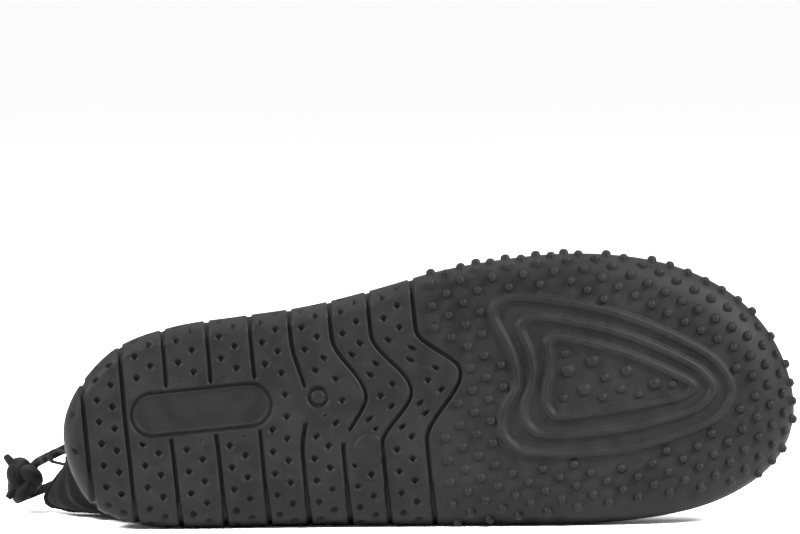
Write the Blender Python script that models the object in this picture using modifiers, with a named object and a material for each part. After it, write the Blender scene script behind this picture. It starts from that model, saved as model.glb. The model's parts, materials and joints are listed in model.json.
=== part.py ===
"""Water shoe for a right foot, lying on its medial side.

A rubber outsole with studs, ribs and a rolled-up rand, a foam insole, a hollow stretch upper,
a bound collar with a pull loop, and a knotted drawcord. The shoe is shaped standing on its tread
(x from heel to toe, y to the medial side, z up) and then laid over on its side. Metres.
"""

import math
from collections import namedtuple

import bmesh
import bpy
from mathutils import Matrix, Vector

# Overall sizes of the last and the sole
LENGTH = 0.271
BALL_WIDTH = 0.101
INSTEP_HEIGHT = 0.083
HEEL_HEIGHT = 0.071
TOE_SPRING = 0.009
SPRING_START = 0.60

# Outsole
SOLE_THICKNESS = 0.005
SIDE_ROUND = 0.015
BULGE_HEIGHT = 0.011
RAND_HEIGHT = 0.018
RAND_LEAN = 0.001
RAND_WALL = 0.0022

# Upper, insole and collar
UPPER_WALL = 0.0024
INSOLE_THICKNESS = 0.004
BINDING_THICKNESS = 0.0038
BINDING_HEIGHT = 0.0052
BINDING_SEAT = 0.0007
GAP = 0.0003
SPINE_BACK = 0.14
SPINE_FRONT = 0.86

# The slack collar, which has sunk towards the floor and back over the heel
SLACK_BACK = 0.022
SLACK_CORNER = 0.0175
SLACK_SIDE = 0.0022
SLACK_DROOP = 0.010
SLACK_START = 0.10
SLACK_END = 0.42

# Relief of the tread
GROOVE_WIDTH = 0.0017
GROOVE_DEPTH = 0.0015
GROOVE_TOP = 0.86
CHEVRON_LATERAL = -0.27
CHEVRON_MEDIAL = 0.14
PANEL_LENGTH = 0.0532
PANEL_WIDTH = 0.0172
PANEL_RIM = 0.0016
PANEL_STEP = 0.0006
PANEL_DEPTH = 0.0013
PANEL_ALONG = 0.1925
PANEL_ACROSS = -0.056
GATE_ALONG = 0.3525
GATE_ACROSS = -0.060
GATE_RADIUS = 0.0039
GATE_CORE = 0.0025
GATE_DEPTH = 0.0008
DISC_ALONG = 0.4145
DISC_ACROSS = 0.152
DISC_RADIUS = 0.0055
DISC_HEIGHT = 0.0004
RIDGE_WIDTH = 0.0034
RIDGE_HEIGHT = 0.0013
STUD_PITCH_ALONG = 0.01153
STUD_PITCH_ACROSS = 0.00785
STUD_ORIGIN = (0.17526, 0.0275)
STUD_SKEW = (0.0284, -0.026, -0.677)
STUD_SIDE_TOP = 0.56
STUD_DIAMETER = 0.0032
STUD_HEIGHT = 0.0015
DOME_SHARE = 0.29
ROOT = 0.0005

# Pull loop and drawcord
LOOP_WIDTH = 0.008
LOOP_REACH = 0.0065
LOOP_TAPE = 0.0011
LOOP_SLOT = 0.0034
CORD_DIAMETER = 0.0034
CORD_STEP = 0.005

# How finely the lofts are divided
AROUND = 56
COLLAR_STEPS = 14
UPPER_ROWS = 8
BULGE_SHARE = 0.6

# Half widths and width of the rounded side, in shares of BALL_WIDTH and SIDE_ROUND
Outline = namedtuple("Outline", "along lateral medial round_lateral round_medial")
OUTLINE = (
    Outline(0.000, 0.000, 0.000, 0.38, 0.38),
    Outline(0.010, 0.112, 0.151, 0.36, 0.48),
    Outline(0.035, 0.209, 0.262, 0.36, 0.56),
    Outline(0.090, 0.322, 0.335, 0.38, 0.64),
    Outline(0.170, 0.373, 0.372, 0.45, 0.74),
    Outline(0.260, 0.385, 0.387, 0.46, 0.92),
    Outline(0.350, 0.397, 0.406, 0.46, 1.06),
    Outline(0.440, 0.431, 0.434, 0.44, 1.06),
    Outline(0.530, 0.474, 0.459, 0.40, 1.00),
    Outline(0.620, 0.494, 0.484, 0.38, 0.82),
    Outline(0.710, 0.492, 0.502, 0.46, 0.78),
    Outline(0.800, 0.455, 0.500, 0.74, 0.92),
    Outline(0.870, 0.389, 0.474, 0.92, 0.98),
    Outline(0.930, 0.284, 0.413, 1.00, 1.00),
    Outline(0.970, 0.156, 0.332, 1.00, 1.00),
    Outline(0.990, 0.040, 0.250, 1.00, 1.00),
    Outline(1.000, -0.127, 0.127, 1.00, 1.00),
)

# Top line of the last: ridge height in shares of INSTEP_HEIGHT, its place across in shares of
# BALL_WIDTH, how square the section is (2 is an ellipse), and how far the side swells over the rand
# in shares of BALL_WIDTH
Ridge = namedtuple("Ridge", "along height across squareness swell")
RIDGE = (
    Ridge(0.00, 1.20, 0.00, 2.00, -0.006),
    Ridge(0.14, 1.11, 0.01, 2.05, -0.006),
    Ridge(0.25, 1.05, 0.03, 2.20, 0.016),
    Ridge(0.36, 1.02, 0.05, 2.35, 0.036),
    Ridge(0.43, 1.00, 0.05, 2.30, 0.034),
    Ridge(0.50, 0.92, 0.05, 2.10, 0.024),
    Ridge(0.60, 0.77, 0.06, 2.00, 0.012),
    Ridge(0.70, 0.645, 0.07, 2.10, 0.008),
    Ridge(0.80, 0.550, 0.09, 2.20, 0.010),
    Ridge(0.86, 0.510, 0.10, 2.30, 0.012),
    Ridge(1.00, 0.430, 0.12, 2.30, 0.014),
)

# Top edge of the collar from the side, in shares of HEEL_HEIGHT
Collar = namedtuple("Collar", "along height")
COLLAR = (
    Collar(-0.10, 1.02),
    Collar(0.03, 1.00),
    Collar(0.10, 0.95),
    Collar(0.19, 0.87),
    Collar(0.27, 0.86),
    Collar(0.34, 0.91),
    Collar(0.40, 1.03),
    Collar(0.43, 1.16),
    Collar(0.50, 1.50),
)

# Grooves between the ribs: place at the sides and rise of the chevron in shares of LENGTH, and across
# the sole, in shares of BALL_WIDTH, the chevron's peak and the stretch that stays whole
Groove = namedtuple("Groove", "along rise peak whole_from whole_to")
GROOVES = (
    Groove(0.0330, 0.000, -0.05, None, None),
    Groove(0.0890, 0.000, -0.05, None, None),
    Groove(0.1490, 0.000, -0.05, -0.150, 0.038),
    Groove(0.2100, 0.000, -0.05, -0.150, 0.038),
    Groove(0.2690, 0.000, -0.05, -0.150, 0.038),
    Groove(0.3235, 0.014, -0.05, -0.100, 0.030),
    Groove(0.3790, 0.038, -0.05, None, None),
    Groove(0.4325, 0.047, -0.05, None, None),
    Groove(0.4935, 0.055, -0.10, None, None),
)

# The fin under the ball: outermost and innermost ridge, in shares of LENGTH and BALL_WIDTH
Fin = namedtuple("Fin", "outer_along outer_across inner_along inner_across")
FIN = (
    Fin(0.600, -0.296, 0.671, -0.172),
    Fin(0.610, -0.335, 0.678, -0.186),
    Fin(0.643, -0.345, 0.689, -0.188),
    Fin(0.739, -0.280, 0.742, -0.138),
    Fin(0.810, -0.198, 0.794, -0.077),
    Fin(0.878, -0.087, 0.840, -0.007),
    Fin(0.905, -0.011, 0.856, 0.020),
    Fin(0.915, 0.072, 0.862, 0.044),
    Fin(0.897, 0.147, 0.852, 0.065),
    Fin(0.860, 0.193, 0.829, 0.078),
    Fin(0.776, 0.240, 0.773, 0.093),
    Fin(0.697, 0.243, 0.708, 0.102),
    Fin(0.629, 0.220, 0.675, 0.102),
    Fin(0.605, 0.182, 0.664, 0.086),
    Fin(0.596, 0.128, 0.659, 0.053),
    Fin(0.602, 0.054, 0.660, 0.024),
    Fin(0.620, -0.016, 0.663, -0.019),
    Fin(0.624, -0.076, 0.669, -0.066),
    Fin(0.617, -0.168, 0.671, -0.121),
    Fin(0.606, -0.237, 0.670, -0.151),
)

# Domes inside the fin, in shares of LENGTH and BALL_WIDTH, and their diameters in metres
Dome = namedtuple("Dome", "along across diameter")
DOMES = (
    Dome(0.693, -0.062, 0.0048),
    Dome(0.728, -0.088, 0.0048),
    Dome(0.713, 0.012, 0.0048),
    Dome(0.773, -0.041, 0.0044),
    Dome(0.809, 0.016, 0.0046),
    Dome(0.692, -0.126, 0.0032),
    Dome(0.684, 0.035, 0.0030),
    Dome(0.743, -0.024, 0.0032),
    Dome(0.737, 0.047, 0.0032),
    Dome(0.763, 0.024, 0.0032),
    Dome(0.786, 0.050, 0.0028),
    Dome(0.834, 0.025, 0.0034),
)

# Route of each drawcord strand, from the binding to the knot, with the shoe at rest
STRAND_UPPER = (
    (-0.1264, 0.0353, 0.0269),
    (-0.1273, 0.0399, 0.0265),
    (-0.1299, 0.0438, 0.0253),
    (-0.1336, 0.0464, 0.0237),
    (-0.1376, 0.0471, 0.0218),
    (-0.1413, 0.0457, 0.0202),
    (-0.1439, 0.0426, 0.0190),
    (-0.1448, 0.0383, 0.0186),
)
STRAND_LOWER = (
    (-0.1365, 0.0348, 0.0115),
    (-0.1373, 0.0399, 0.0108),
    (-0.1394, 0.0443, 0.0095),
    (-0.1426, 0.0471, 0.0081),
    (-0.1460, 0.0478, 0.0067),
    (-0.1492, 0.0462, 0.0056),
    (-0.1513, 0.0427, 0.0051),
    (-0.1521, 0.0379, 0.0052),
)
KNOT_CENTER = (-0.1495, 0.0335, 0.0129)
KNOT_RADII = (0.0072, 0.0060, 0.0090)
KNOT_TAILS = ((-0.1562, 0.0325, 0.0222), (-0.1540, 0.0300, 0.0062))

# Where the balance point lies, in shares of LENGTH, BALL_WIDTH and INSTEP_HEIGHT
BALANCE = (0.50, 0.0, 0.27)

COLLECTION_NAME = "water_shoe"


def clear_scene():
    for item in list(bpy.data.objects):
        bpy.data.objects.remove(item, do_unlink=True)


def new_collection(name):
    collection = bpy.data.collections.new(name)
    bpy.context.scene.collection.children.link(collection)
    return collection


def material(name, color, roughness):
    made = bpy.data.materials.new(name)
    made.use_nodes = True
    shader = made.node_tree.nodes["Principled BSDF"]
    shader.inputs["Base Color"].default_value = (*color, 1.0)
    shader.inputs["Roughness"].default_value = roughness
    shader.inputs["Metallic"].default_value = 0.0
    return made


def mesh_object(name, bm, collection, finish=None):
    """Turn a finished bmesh into a smooth-shaded object."""
    bmesh.ops.recalc_face_normals(bm, faces=bm.faces)
    mesh = bpy.data.meshes.new(name)
    bm.to_mesh(mesh)
    bm.free()
    mesh.shade_smooth()
    mesh.set_sharp_from_angle(angle=math.radians(40))
    made = bpy.data.objects.new(name, mesh)
    collection.objects.link(made)
    if finish:
        mesh.materials.append(finish)
    return made


def hide_cutter(cutter):
    cutter.hide_render = True
    cutter.display_type = "WIRE"


def add_boolean(target, cutter, operation):
    modifier = target.modifiers.new(cutter.name, "BOOLEAN")
    modifier.operation = operation
    modifier.object = cutter
    modifier.use_self = True
    hide_cutter(cutter)


def smooth_read(places, values, at):
    """Value at a place on the smooth curve through the given values."""
    last = len(places) - 1
    if at <= places[0]:
        return values[0]
    if at >= places[last]:
        return values[last]
    k = max(i for i in range(last) if places[i] <= at)

    def slope(i):
        before = max(i - 1, 0)
        after = min(i + 1, last)
        return (values[after] - values[before]) / (places[after] - places[before])

    span = places[k + 1] - places[k]
    u = (at - places[k]) / span
    start = (1 + 2 * u) * (1 - u) ** 2 * values[k] + u * (1 - u) ** 2 * span * slope(k)
    end = u * u * (3 - 2 * u) * values[k + 1] + u * u * (u - 1) * span * slope(k + 1)
    return start + end


def smooth_step(start, end, at):
    """0 before start, 1 after end, eased between them."""
    u = min(max((at - start) / (end - start), 0.0), 1.0)
    return u * u * (3 - 2 * u)


def turn_of(along):
    """Turn from the heel (0) to the toe (pi) of a place along the outline."""
    return math.acos(1 - 2 * along)


OUTLINE_TURNS = [turn_of(row.along) for row in OUTLINE]
OUTLINE_COLUMNS = {name: [getattr(row, name) for row in OUTLINE] for name in Outline._fields}
RIDGE_COLUMNS = {name: [getattr(row, name) for row in RIDGE] for name in Ridge._fields}
COLLAR_LINE = {name: [getattr(row, name) for row in COLLAR] for name in Collar._fields}


def folded(turn):
    """Turn between heel and toe, and whether it is on the medial side, of a turn round the sole."""
    turn = turn % math.tau
    medial = turn > math.pi
    return (math.tau - turn if medial else turn), medial


def outline_point(turn):
    """Point of the widest outline; the turn runs heel, lateral side, toe, medial side."""
    half, medial = folded(turn)
    column = OUTLINE_COLUMNS["medial" if medial else "lateral"]
    across = smooth_read(OUTLINE_TURNS, column, half) * BALL_WIDTH
    return Vector((LENGTH * (1 - math.cos(half)) / 2, across if medial else -across))


def round_width(turn):
    half, medial = folded(turn)
    column = OUTLINE_COLUMNS["round_medial" if medial else "round_lateral"]
    return smooth_read(OUTLINE_TURNS, column, half) * SIDE_ROUND


def inward(turn):
    """Unit vector in plan from the outline to the inside of the sole."""
    step = 0.01
    along = outline_point(turn + step) - outline_point(turn - step)
    return Vector((-along.y, along.x)).normalized()


def spring(x):
    """Height of the tread over the floor plane."""
    beyond = max(0.0, (x / LENGTH - SPRING_START) / (1 - SPRING_START))
    return TOE_SPRING * beyond ** 2


def side_profile(width, share):
    """Inset and height on the sole's side; share 0 is the tread's edge and 1 the rand's top."""
    if share < BULGE_SHARE:
        angle = share / BULGE_SHARE * math.pi / 2
        return Vector((width * (1 - math.sin(angle)), BULGE_HEIGHT * (1 - math.cos(angle))))
    up = (share - BULGE_SHARE) / (1 - BULGE_SHARE)
    return Vector((RAND_LEAN * up ** 2, BULGE_HEIGHT + (RAND_HEIGHT - BULGE_HEIGHT) * up))


def skin_point(turn, share, out=0.0):
    """Point on the sole's side, moved out of the rubber by the given distance."""
    width = round_width(turn)
    step = 0.01
    low = side_profile(width, max(share - step, 0.0))
    high = side_profile(width, min(share + step, 1.0))
    along = (high - low).normalized()
    place = side_profile(width, share) + Vector((-along.y, along.x)) * out
    plan = outline_point(turn) + inward(turn) * place.x
    return Vector((plan.x, plan.y, place.y + spring(plan.x)))


def share_at_height(turn, out, height):
    """Share up the side where the moved skin reaches a height over the tread."""
    low, high = 0.0, 1.0
    for _ in range(30):
        middle = (low + high) / 2
        point = skin_point(turn, middle, out)
        if point.z - spring(point.x) < height:
            low = middle
        else:
            high = middle
    return high


def ring_of(share, out=0.0):
    return [skin_point(math.tau * i / AROUND, share, out) for i in range(AROUND)]


def ring_at_height(height, out, share_of_rest=0.0):
    """Ring where the moved skin meets a height, or part of the way from there to the bulge."""
    ring = []
    for i in range(AROUND):
        turn = math.tau * i / AROUND
        low = share_at_height(turn, out, height)
        ring.append(skin_point(turn, low + (BULGE_SHARE - low) * share_of_rest, out))
    return ring


def add_ring(bm, points):
    return [bm.verts.new(point) for point in points]


def join_rings(bm, first, second):
    count = len(first)
    for i in range(count):
        j = (i + 1) % count
        bm.faces.new((first[i], first[j], second[j], second[i]))


def cap_ring(bm, ring):
    """Close a ring with strips that run straight across the sole."""
    count = len(ring)
    half = count // 2
    bm.faces.new((ring[0], ring[1], ring[count - 1]))
    for i in range(1, half - 1):
        bm.faces.new((ring[i], ring[i + 1], ring[count - i - 1], ring[count - i]))
    bm.faces.new((ring[half - 1], ring[half], ring[half + 1]))


def tube_of(bm, rings):
    """Closed body from rings that come back to the first one."""
    made = [add_ring(bm, ring) for ring in rings]
    for i, ring in enumerate(made):
        join_rings(bm, ring, made[(i + 1) % len(made)])


def capped_loft(bm, rings):
    """Body from rings, with a flat face at each end."""
    made = [add_ring(bm, ring) for ring in rings]
    for first, second in zip(made, made[1:]):
        join_rings(bm, first, second)
    bm.faces.new(made[0])
    bm.faces.new(made[-1])


def tread_point(along, across, depth=0.0):
    """Point on the tread face; along and across are shares, and depth goes into the rubber."""
    x = along * LENGTH
    return Vector((x, across * BALL_WIDTH, spring(x) + depth))


def make_sole_body(collection, finish):
    bm = bmesh.new()
    shares = (0.0, 0.2, 0.4, BULGE_SHARE, 0.8, 1.0)
    rings = [ring_of(share) for share in shares]
    rings += [ring_of(share, -RAND_WALL) for share in (1.0, 0.8, BULGE_SHARE)]
    rings.append(ring_at_height(SOLE_THICKNESS, -RAND_WALL, 0.5))
    rings.append(ring_at_height(SOLE_THICKNESS, -RAND_WALL))
    made = [add_ring(bm, ring) for ring in rings]
    for first, second in zip(made, made[1:]):
        join_rings(bm, first, second)
    cap_ring(bm, made[0])
    cap_ring(bm, made[-1])
    bmesh.ops.triangulate(bm, faces=bm.faces)
    return mesh_object("outsole", bm, collection, finish)


def chevron(row, across):
    """Place along of a groove, in shares, at a place across."""
    if across < row.peak:
        lift = smooth_step(CHEVRON_LATERAL, row.peak, across)
    else:
        lift = 1 - smooth_step(row.peak, CHEVRON_MEDIAL, across)
    return row.along + row.rise * lift


def turn_at(along, share, medial):
    """Turn at which the sole's side, at a share of its rise, passes a place along the shoe."""
    low, high = 0.0, math.pi
    for _ in range(30):
        middle = (low + high) / 2
        turn = math.tau - middle if medial else middle
        if skin_point(turn, share).x < along * LENGTH:
            low = middle
        else:
            high = middle
    return math.tau - high if medial else high


def groove_side(along, medial):
    """Pairs of deep and open points up one side of the sole, from the tread's edge."""
    pairs = []
    for share in (0.12, 0.3, 0.48, BULGE_SHARE, GROOVE_TOP):
        turn = turn_at(along, share, medial)
        pairs.append(tuple(skin_point(turn, share, out) for out in (-GROOVE_DEPTH, GROOVE_DEPTH)))
    return pairs


def groove_floor(row, start, end):
    """Pairs of deep and open points across the tread."""
    steps = 10 if row.rise else 2
    pairs = []
    for i in range(steps + 1):
        across = start + (end - start) * i / steps
        along = chevron(row, across)
        depths = (GROOVE_DEPTH, -GROOVE_DEPTH)
        pairs.append(tuple(tread_point(along, across, depth) for depth in depths))
    return pairs


def tread_edge(along, medial):
    """Place across of the tread's edge, in shares."""
    return skin_point(turn_at(along, 0.0, medial), 0.0).y / BALL_WIDTH


def groove_runs(row):
    """The runs of one groove, each a list of pairs of deep and open points."""
    lateral = list(reversed(groove_side(row.along, False)))
    medial = groove_side(row.along, True)
    start = tread_edge(row.along, False) * 0.97
    end = tread_edge(row.along, True) * 0.97
    if row.whole_from is None:
        return [lateral + groove_floor(row, start, end) + medial]
    return [
        lateral + groove_floor(row, start, row.whole_from),
        groove_floor(row, row.whole_to, end) + medial,
    ]


def add_groove(bm, run):
    """Strip of the groove's width along a run of points."""
    rings = []
    for i, (deep, opened) in enumerate(run):
        before = run[max(i - 1, 0)][0]
        after = run[min(i + 1, len(run) - 1)][0]
        along = after - before
        slant = math.hypot(along.y, along.z) / max(along.length, GAP)
        half = Vector((GROOVE_WIDTH / 2 / max(slant, 0.5), 0.0, 0.0))
        rings.append([deep - half, deep + half, opened + half, opened - half])
    capped_loft(bm, rings)


def panel_outline(shrink):
    """Outline of the oblong panel, a straight-sided shape with round ends, as plan points."""
    radius = PANEL_WIDTH / 2 - shrink
    reach = (PANEL_LENGTH - PANEL_WIDTH) / 2
    steps = 8
    points = []
    for side in (1, -1):
        for i in range(steps + 1):
            angle = math.pi * (i / steps - 0.5)
            points.append((side * (reach + radius * math.cos(angle)), side * radius * math.sin(angle)))
    return points


def add_panel(bm, shrink, depth):
    center = tread_point(PANEL_ALONG, PANEL_ACROSS)
    rings = []
    for height in (-PANEL_DEPTH, depth):
        rings.append([center + Vector((x, y, height)) for x, y in panel_outline(shrink)])
    capped_loft(bm, rings)


def closed_curve(points, count):
    """Evenly numbered points on the smooth closed curve through the given ones."""
    total = len(points)
    made = []
    for i in range(count):
        at = i * total / count
        k = int(at)
        u = at - k
        before, start, end, after = (points[(k + j) % total] for j in (-1, 0, 1, 2))
        first = (end - before) / 2
        second = (after - start) / 2
        made.append(
            start * (1 + 2 * u) * (1 - u) ** 2
            + first * u * (1 - u) ** 2
            + end * u * u * (3 - 2 * u)
            + second * u * u * (u - 1)
        )
    return made


def fin_line(inward_share):
    """Centre line of one ridge of the fin, in plan; 0 is the outermost and 1 the innermost."""
    points = []
    for row in FIN:
        along = row.outer_along + (row.inner_along - row.outer_along) * inward_share
        across = row.outer_across + (row.inner_across - row.outer_across) * inward_share
        points.append(Vector((along * LENGTH, across * BALL_WIDTH)))
    return points


def add_ridge(bm, inward_share, count):
    """Closed ridge with a rounded top, rooted in the tread."""
    line = closed_curve(fin_line(inward_share), count)
    half = RIDGE_WIDTH / 2
    flat = half * 0.55
    section = ((-half, ROOT), (-flat, -RIDGE_HEIGHT), (flat, -RIDGE_HEIGHT), (half, ROOT))
    rings = [[] for _ in section]
    for i, point in enumerate(line):
        along = line[(i + 1) % count] - line[i - 1]
        side = Vector((-along.y, along.x)).normalized()
        for ring, (offset, height) in zip(rings, section):
            place = point + side * offset
            ring.append(Vector((place.x, place.y, spring(place.x) + height)))
    tube_of(bm, rings)


def circle(center, radius, height, count):
    turns = [math.tau * i / count for i in range(count)]
    return [center + Vector((radius * math.cos(a), radius * math.sin(a), height)) for a in turns]


def add_gate(bm):
    """Ring-shaped channel round the moulding mark in the waist."""
    center = tread_point(GATE_ALONG, GATE_ACROSS)
    sides = 20
    tube_of(bm, [
        circle(center, GATE_RADIUS, GATE_DEPTH, sides),
        circle(center, GATE_RADIUS, -GATE_DEPTH, sides),
        circle(center, GATE_CORE, -GATE_DEPTH, sides),
        circle(center, GATE_CORE, GATE_DEPTH, sides),
    ])


def add_disc(bm):
    center = tread_point(DISC_ALONG, DISC_ACROSS)
    capped_loft(bm, [circle(center, DISC_RADIUS, height, 20) for height in (ROOT, -DISC_HEIGHT)])


def add_stud(bm, base, out, diameter, height, sides=4):
    """Blunt cone that stands on the rubber along the given direction."""
    turn = out.to_track_quat("Z", "Y").to_matrix().to_4x4()
    depth = height + ROOT
    place = Matrix.Translation(base + out * (height - ROOT) / 2) @ turn
    bmesh.ops.create_cone(
        bm, cap_ends=True, segments=sides, radius1=diameter / 2, radius2=diameter * 0.3,
        depth=depth, matrix=place,
    )


def inside(point, line):
    """Whether a plan point lies inside a closed line."""
    found = False
    for i, start in enumerate(line):
        end = line[i - 1]
        if (start.y > point.y) != (end.y > point.y):
            crossing = start.x + (point.y - start.y) * (end.x - start.x) / (end.y - start.y)
            if point.x < crossing:
                found = not found
    return found


def distance_to(point, line):
    return min((point - other).length for other in line)


def lattice():
    """Plan places of the forefoot's studs, in skewed rows with every other one moved half a pitch."""
    x_mid, slope, fanning = STUD_SKEW
    groove = GROOVES[-1]
    places = []
    rows = int(BALL_WIDTH / STUD_PITCH_ACROSS) + 2
    columns = int(LENGTH / STUD_PITCH_ALONG) + 1
    for j in range(-4, 2 * rows):
        y = STUD_ORIGIN[1] - j * STUD_PITCH_ACROSS / 2
        for i in range(-columns, columns):
            reach = (i + 0.5 * (j % 2)) * STUD_PITCH_ALONG
            place = Vector((STUD_ORIGIN[0] + reach, y + (reach - x_mid) * (slope + fanning * y)))
            if place.x / LENGTH - chevron(groove, place.y / BALL_WIDTH) > STUD_DIAMETER / LENGTH:
                places.append(place)
    return places


def tread_studs(places):
    """The places on the tread, clear of its edge and the fin."""
    edge = [skin_point(math.tau * i / 200, 0.0).to_2d() for i in range(200)]
    fin = closed_curve(fin_line(0.0), 120)
    margin = STUD_DIAMETER / 2 + ROOT
    return [
        place for place in places
        if inside(place, edge) and not inside(place, fin)
        and distance_to(place, edge) > margin and distance_to(place, fin) > RIDGE_WIDTH / 2 + margin
    ]


def side_studs(places):
    """Bases and directions of the places that run on round the side, beyond the tread's edge."""
    turns = [math.tau * i / 720 for i in range(720)]
    edge = [skin_point(turn, 0.0).to_2d() for turn in turns]
    made = []
    for place in places:
        if inside(place, edge):
            continue
        beyond = distance_to(place, edge)
        turn = turns[min(range(len(edge)), key=lambda k: (edge[k] - place).length)]
        share, run, last = 0.0, 0.0, skin_point(turn, 0.0)
        while run < beyond and share < STUD_SIDE_TOP:
            share += 0.01
            point = skin_point(turn, share)
            run += (point - last).length
            last = point
        if beyond > STUD_DIAMETER / 2 + ROOT and share < STUD_SIDE_TOP:
            base = skin_point(turn, share, -ROOT)
            made.append((base, (last - base).normalized()))
    return made


def make_outsole(parts, cutters, finish):
    body = make_sole_body(parts, finish)
    bm = bmesh.new()
    for row in GROOVES:
        for run in groove_runs(row):
            add_groove(bm, run)
    add_panel(bm, 0.0, PANEL_STEP)
    add_gate(bm)
    bmesh.ops.triangulate(bm, faces=bm.faces)
    add_boolean(body, mesh_object("grooves", bm, cutters), "DIFFERENCE")
    bm = bmesh.new()
    add_panel(bm, PANEL_RIM, PANEL_DEPTH)
    add_boolean(body, mesh_object("panel_floor", bm, cutters), "DIFFERENCE")
    bm = bmesh.new()
    add_ridge(bm, 0.0, 40)
    add_ridge(bm, 0.5, 36)
    add_ridge(bm, 1.0, 32)
    add_disc(bm)
    down = Vector((0.0, 0.0, -1.0))
    places = lattice()
    for place in tread_studs(places):
        add_stud(bm, Vector((place.x, place.y, spring(place.x))), down, STUD_DIAMETER, STUD_HEIGHT)
    for base, out in side_studs(places):
        add_stud(bm, base, out, STUD_DIAMETER, STUD_HEIGHT + ROOT)
    for row in DOMES:
        height = DOME_SHARE * row.diameter
        add_stud(bm, tread_point(row.along, row.across), down, row.diameter, height, sides=6)
    add_boolean(body, mesh_object("relief", bm, cutters), "UNION")
    return body


def make_insole(parts, finish):
    """Footbed inside the foot of the upper."""
    out = -(RAND_WALL + GAP + UPPER_WALL + 2 * GAP)
    base = SOLE_THICKNESS + GAP
    bm = bmesh.new()
    rings = [ring_at_height(base, out), ring_at_height(base + INSOLE_THICKNESS, out)]
    made = [add_ring(bm, ring) for ring in rings]
    join_rings(bm, made[0], made[1])
    cap_ring(bm, made[0])
    cap_ring(bm, made[1])
    return mesh_object("insole", bm, parts, finish)


def slack(point):
    """Where a point of the worn, soft collar has sunk to."""
    lift = min(max((point.z - RAND_HEIGHT) / (HEEL_HEIGHT - RAND_HEIGHT), 0.0), 1.3) ** 1.5
    rear = 1 - smooth_step(SLACK_START, SLACK_END, point.x / LENGTH)
    medial = min(max(0.5 + point.y / (0.7 * BALL_WIDTH), 0.0), 1.0)
    corner = smooth_step(0.0, 0.25, point.y / BALL_WIDTH)
    back = (SLACK_BACK * (0.4 + 0.6 * medial) + SLACK_CORNER * corner) * lift * rear
    side = (SLACK_SIDE + SLACK_DROOP * (1 - medial)) * lift * rear
    return point + Vector((-back, side, 0.0))


def read_ridge(name, x):
    return smooth_read(RIDGE_COLUMNS["along"], RIDGE_COLUMNS[name], x / LENGTH)


def ridge_height(x):
    """Height of the last's top line, carried on over the toe and the heel."""
    return read_ridge("height", x) * INSTEP_HEIGHT


def ridge_point(half):
    """Top point of the last that belongs to a turn between heel and toe."""
    x = (SPINE_BACK + (SPINE_FRONT - SPINE_BACK) * (1 - math.cos(half)) / 2) * LENGTH
    return Vector((x, read_ridge("across", x) * BALL_WIDTH, ridge_height(x)))


def last_point(turn, rise):
    """Point of the last over the rand; rise is 0 at the rand's top and 1 on the ridge."""
    foot = skin_point(turn, 1.0, -(RAND_WALL + GAP))
    top = ridge_point(folded(turn)[0])
    power = 2 / read_ridge("squareness", top.x)
    angle = rise * math.pi / 2
    inset = 1 - math.cos(angle) ** power if rise < 1 else 1.0
    height = math.sin(angle) ** power
    swell = read_ridge("swell", foot.x) * BALL_WIDTH * math.sin(math.pi * height)
    plan = foot.to_2d().lerp(top.to_2d(), inset) - inward(turn) * swell
    return Vector((plan.x, plan.y, foot.z + (ridge_height(plan.x) - foot.z) * height))


def collar_height(x):
    return smooth_read(COLLAR_LINE["along"], COLLAR_LINE["height"], x / LENGTH) * HEEL_HEIGHT


def collar_rise(turn):
    """Rise at which a turn's line meets the collar's edge, or 1 in front of the collar."""
    low, high = 0.0, 1.0
    point = last_point(turn, high)
    if point.z < collar_height(point.x):
        return 1.0
    for _ in range(30):
        middle = (low + high) / 2
        point = last_point(turn, middle)
        if point.z < collar_height(point.x):
            low = middle
        else:
            high = middle
    return high


def throat_turn():
    """Turn whose ridge point lies on the collar's edge."""
    low, high = 0.3, math.pi / 2 + 0.3
    for _ in range(40):
        middle = (low + high) / 2
        top = ridge_point(middle)
        if top.z > collar_height(top.x):
            low = middle
        else:
            high = middle
    return low


def collar_turns(medial):
    """Turns at which the collar's edge is cut into even lengths, from the heel to the throat."""
    throat = throat_turn()
    steps = 160
    halves = [throat * (1 - (1 - i / steps) ** 2) for i in range(steps + 1)]
    points = []
    for half in halves:
        turn = math.tau - half if medial else half
        points.append(last_point(turn, collar_rise(turn)))
    run = [0.0]
    for first, second in zip(points, points[1:]):
        run.append(run[-1] + (second - first).length)
    turns = []
    for i in range(COLLAR_STEPS + 1):
        goal = run[-1] * i / COLLAR_STEPS
        k = min(max(j for j in range(steps) if run[j] <= goal), steps - 1)
        part = (goal - run[k]) / (run[k + 1] - run[k])
        turns.append(halves[k] + (halves[k + 1] - halves[k]) * min(part, 1.0))
    return turns


def column_points(foot_half, top_half, top_rise, medial):
    """Points up one side of the upper, from the edge under the insole to the collar or the ridge."""
    out = -(RAND_WALL + GAP)
    foot = math.tau - foot_half if medial else foot_half
    low = share_at_height(foot, out, SOLE_THICKNESS + GAP)
    points = [skin_point(foot, share, out) for share in (low, (low + BULGE_SHARE) / 2, BULGE_SHARE)]
    for row in range(UPPER_ROWS + 1):
        part = row / UPPER_ROWS
        half = foot_half + (top_half - foot_half) * part
        points.append(slack(last_point(math.tau - half if medial else half, top_rise * part)))
    return points


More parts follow.
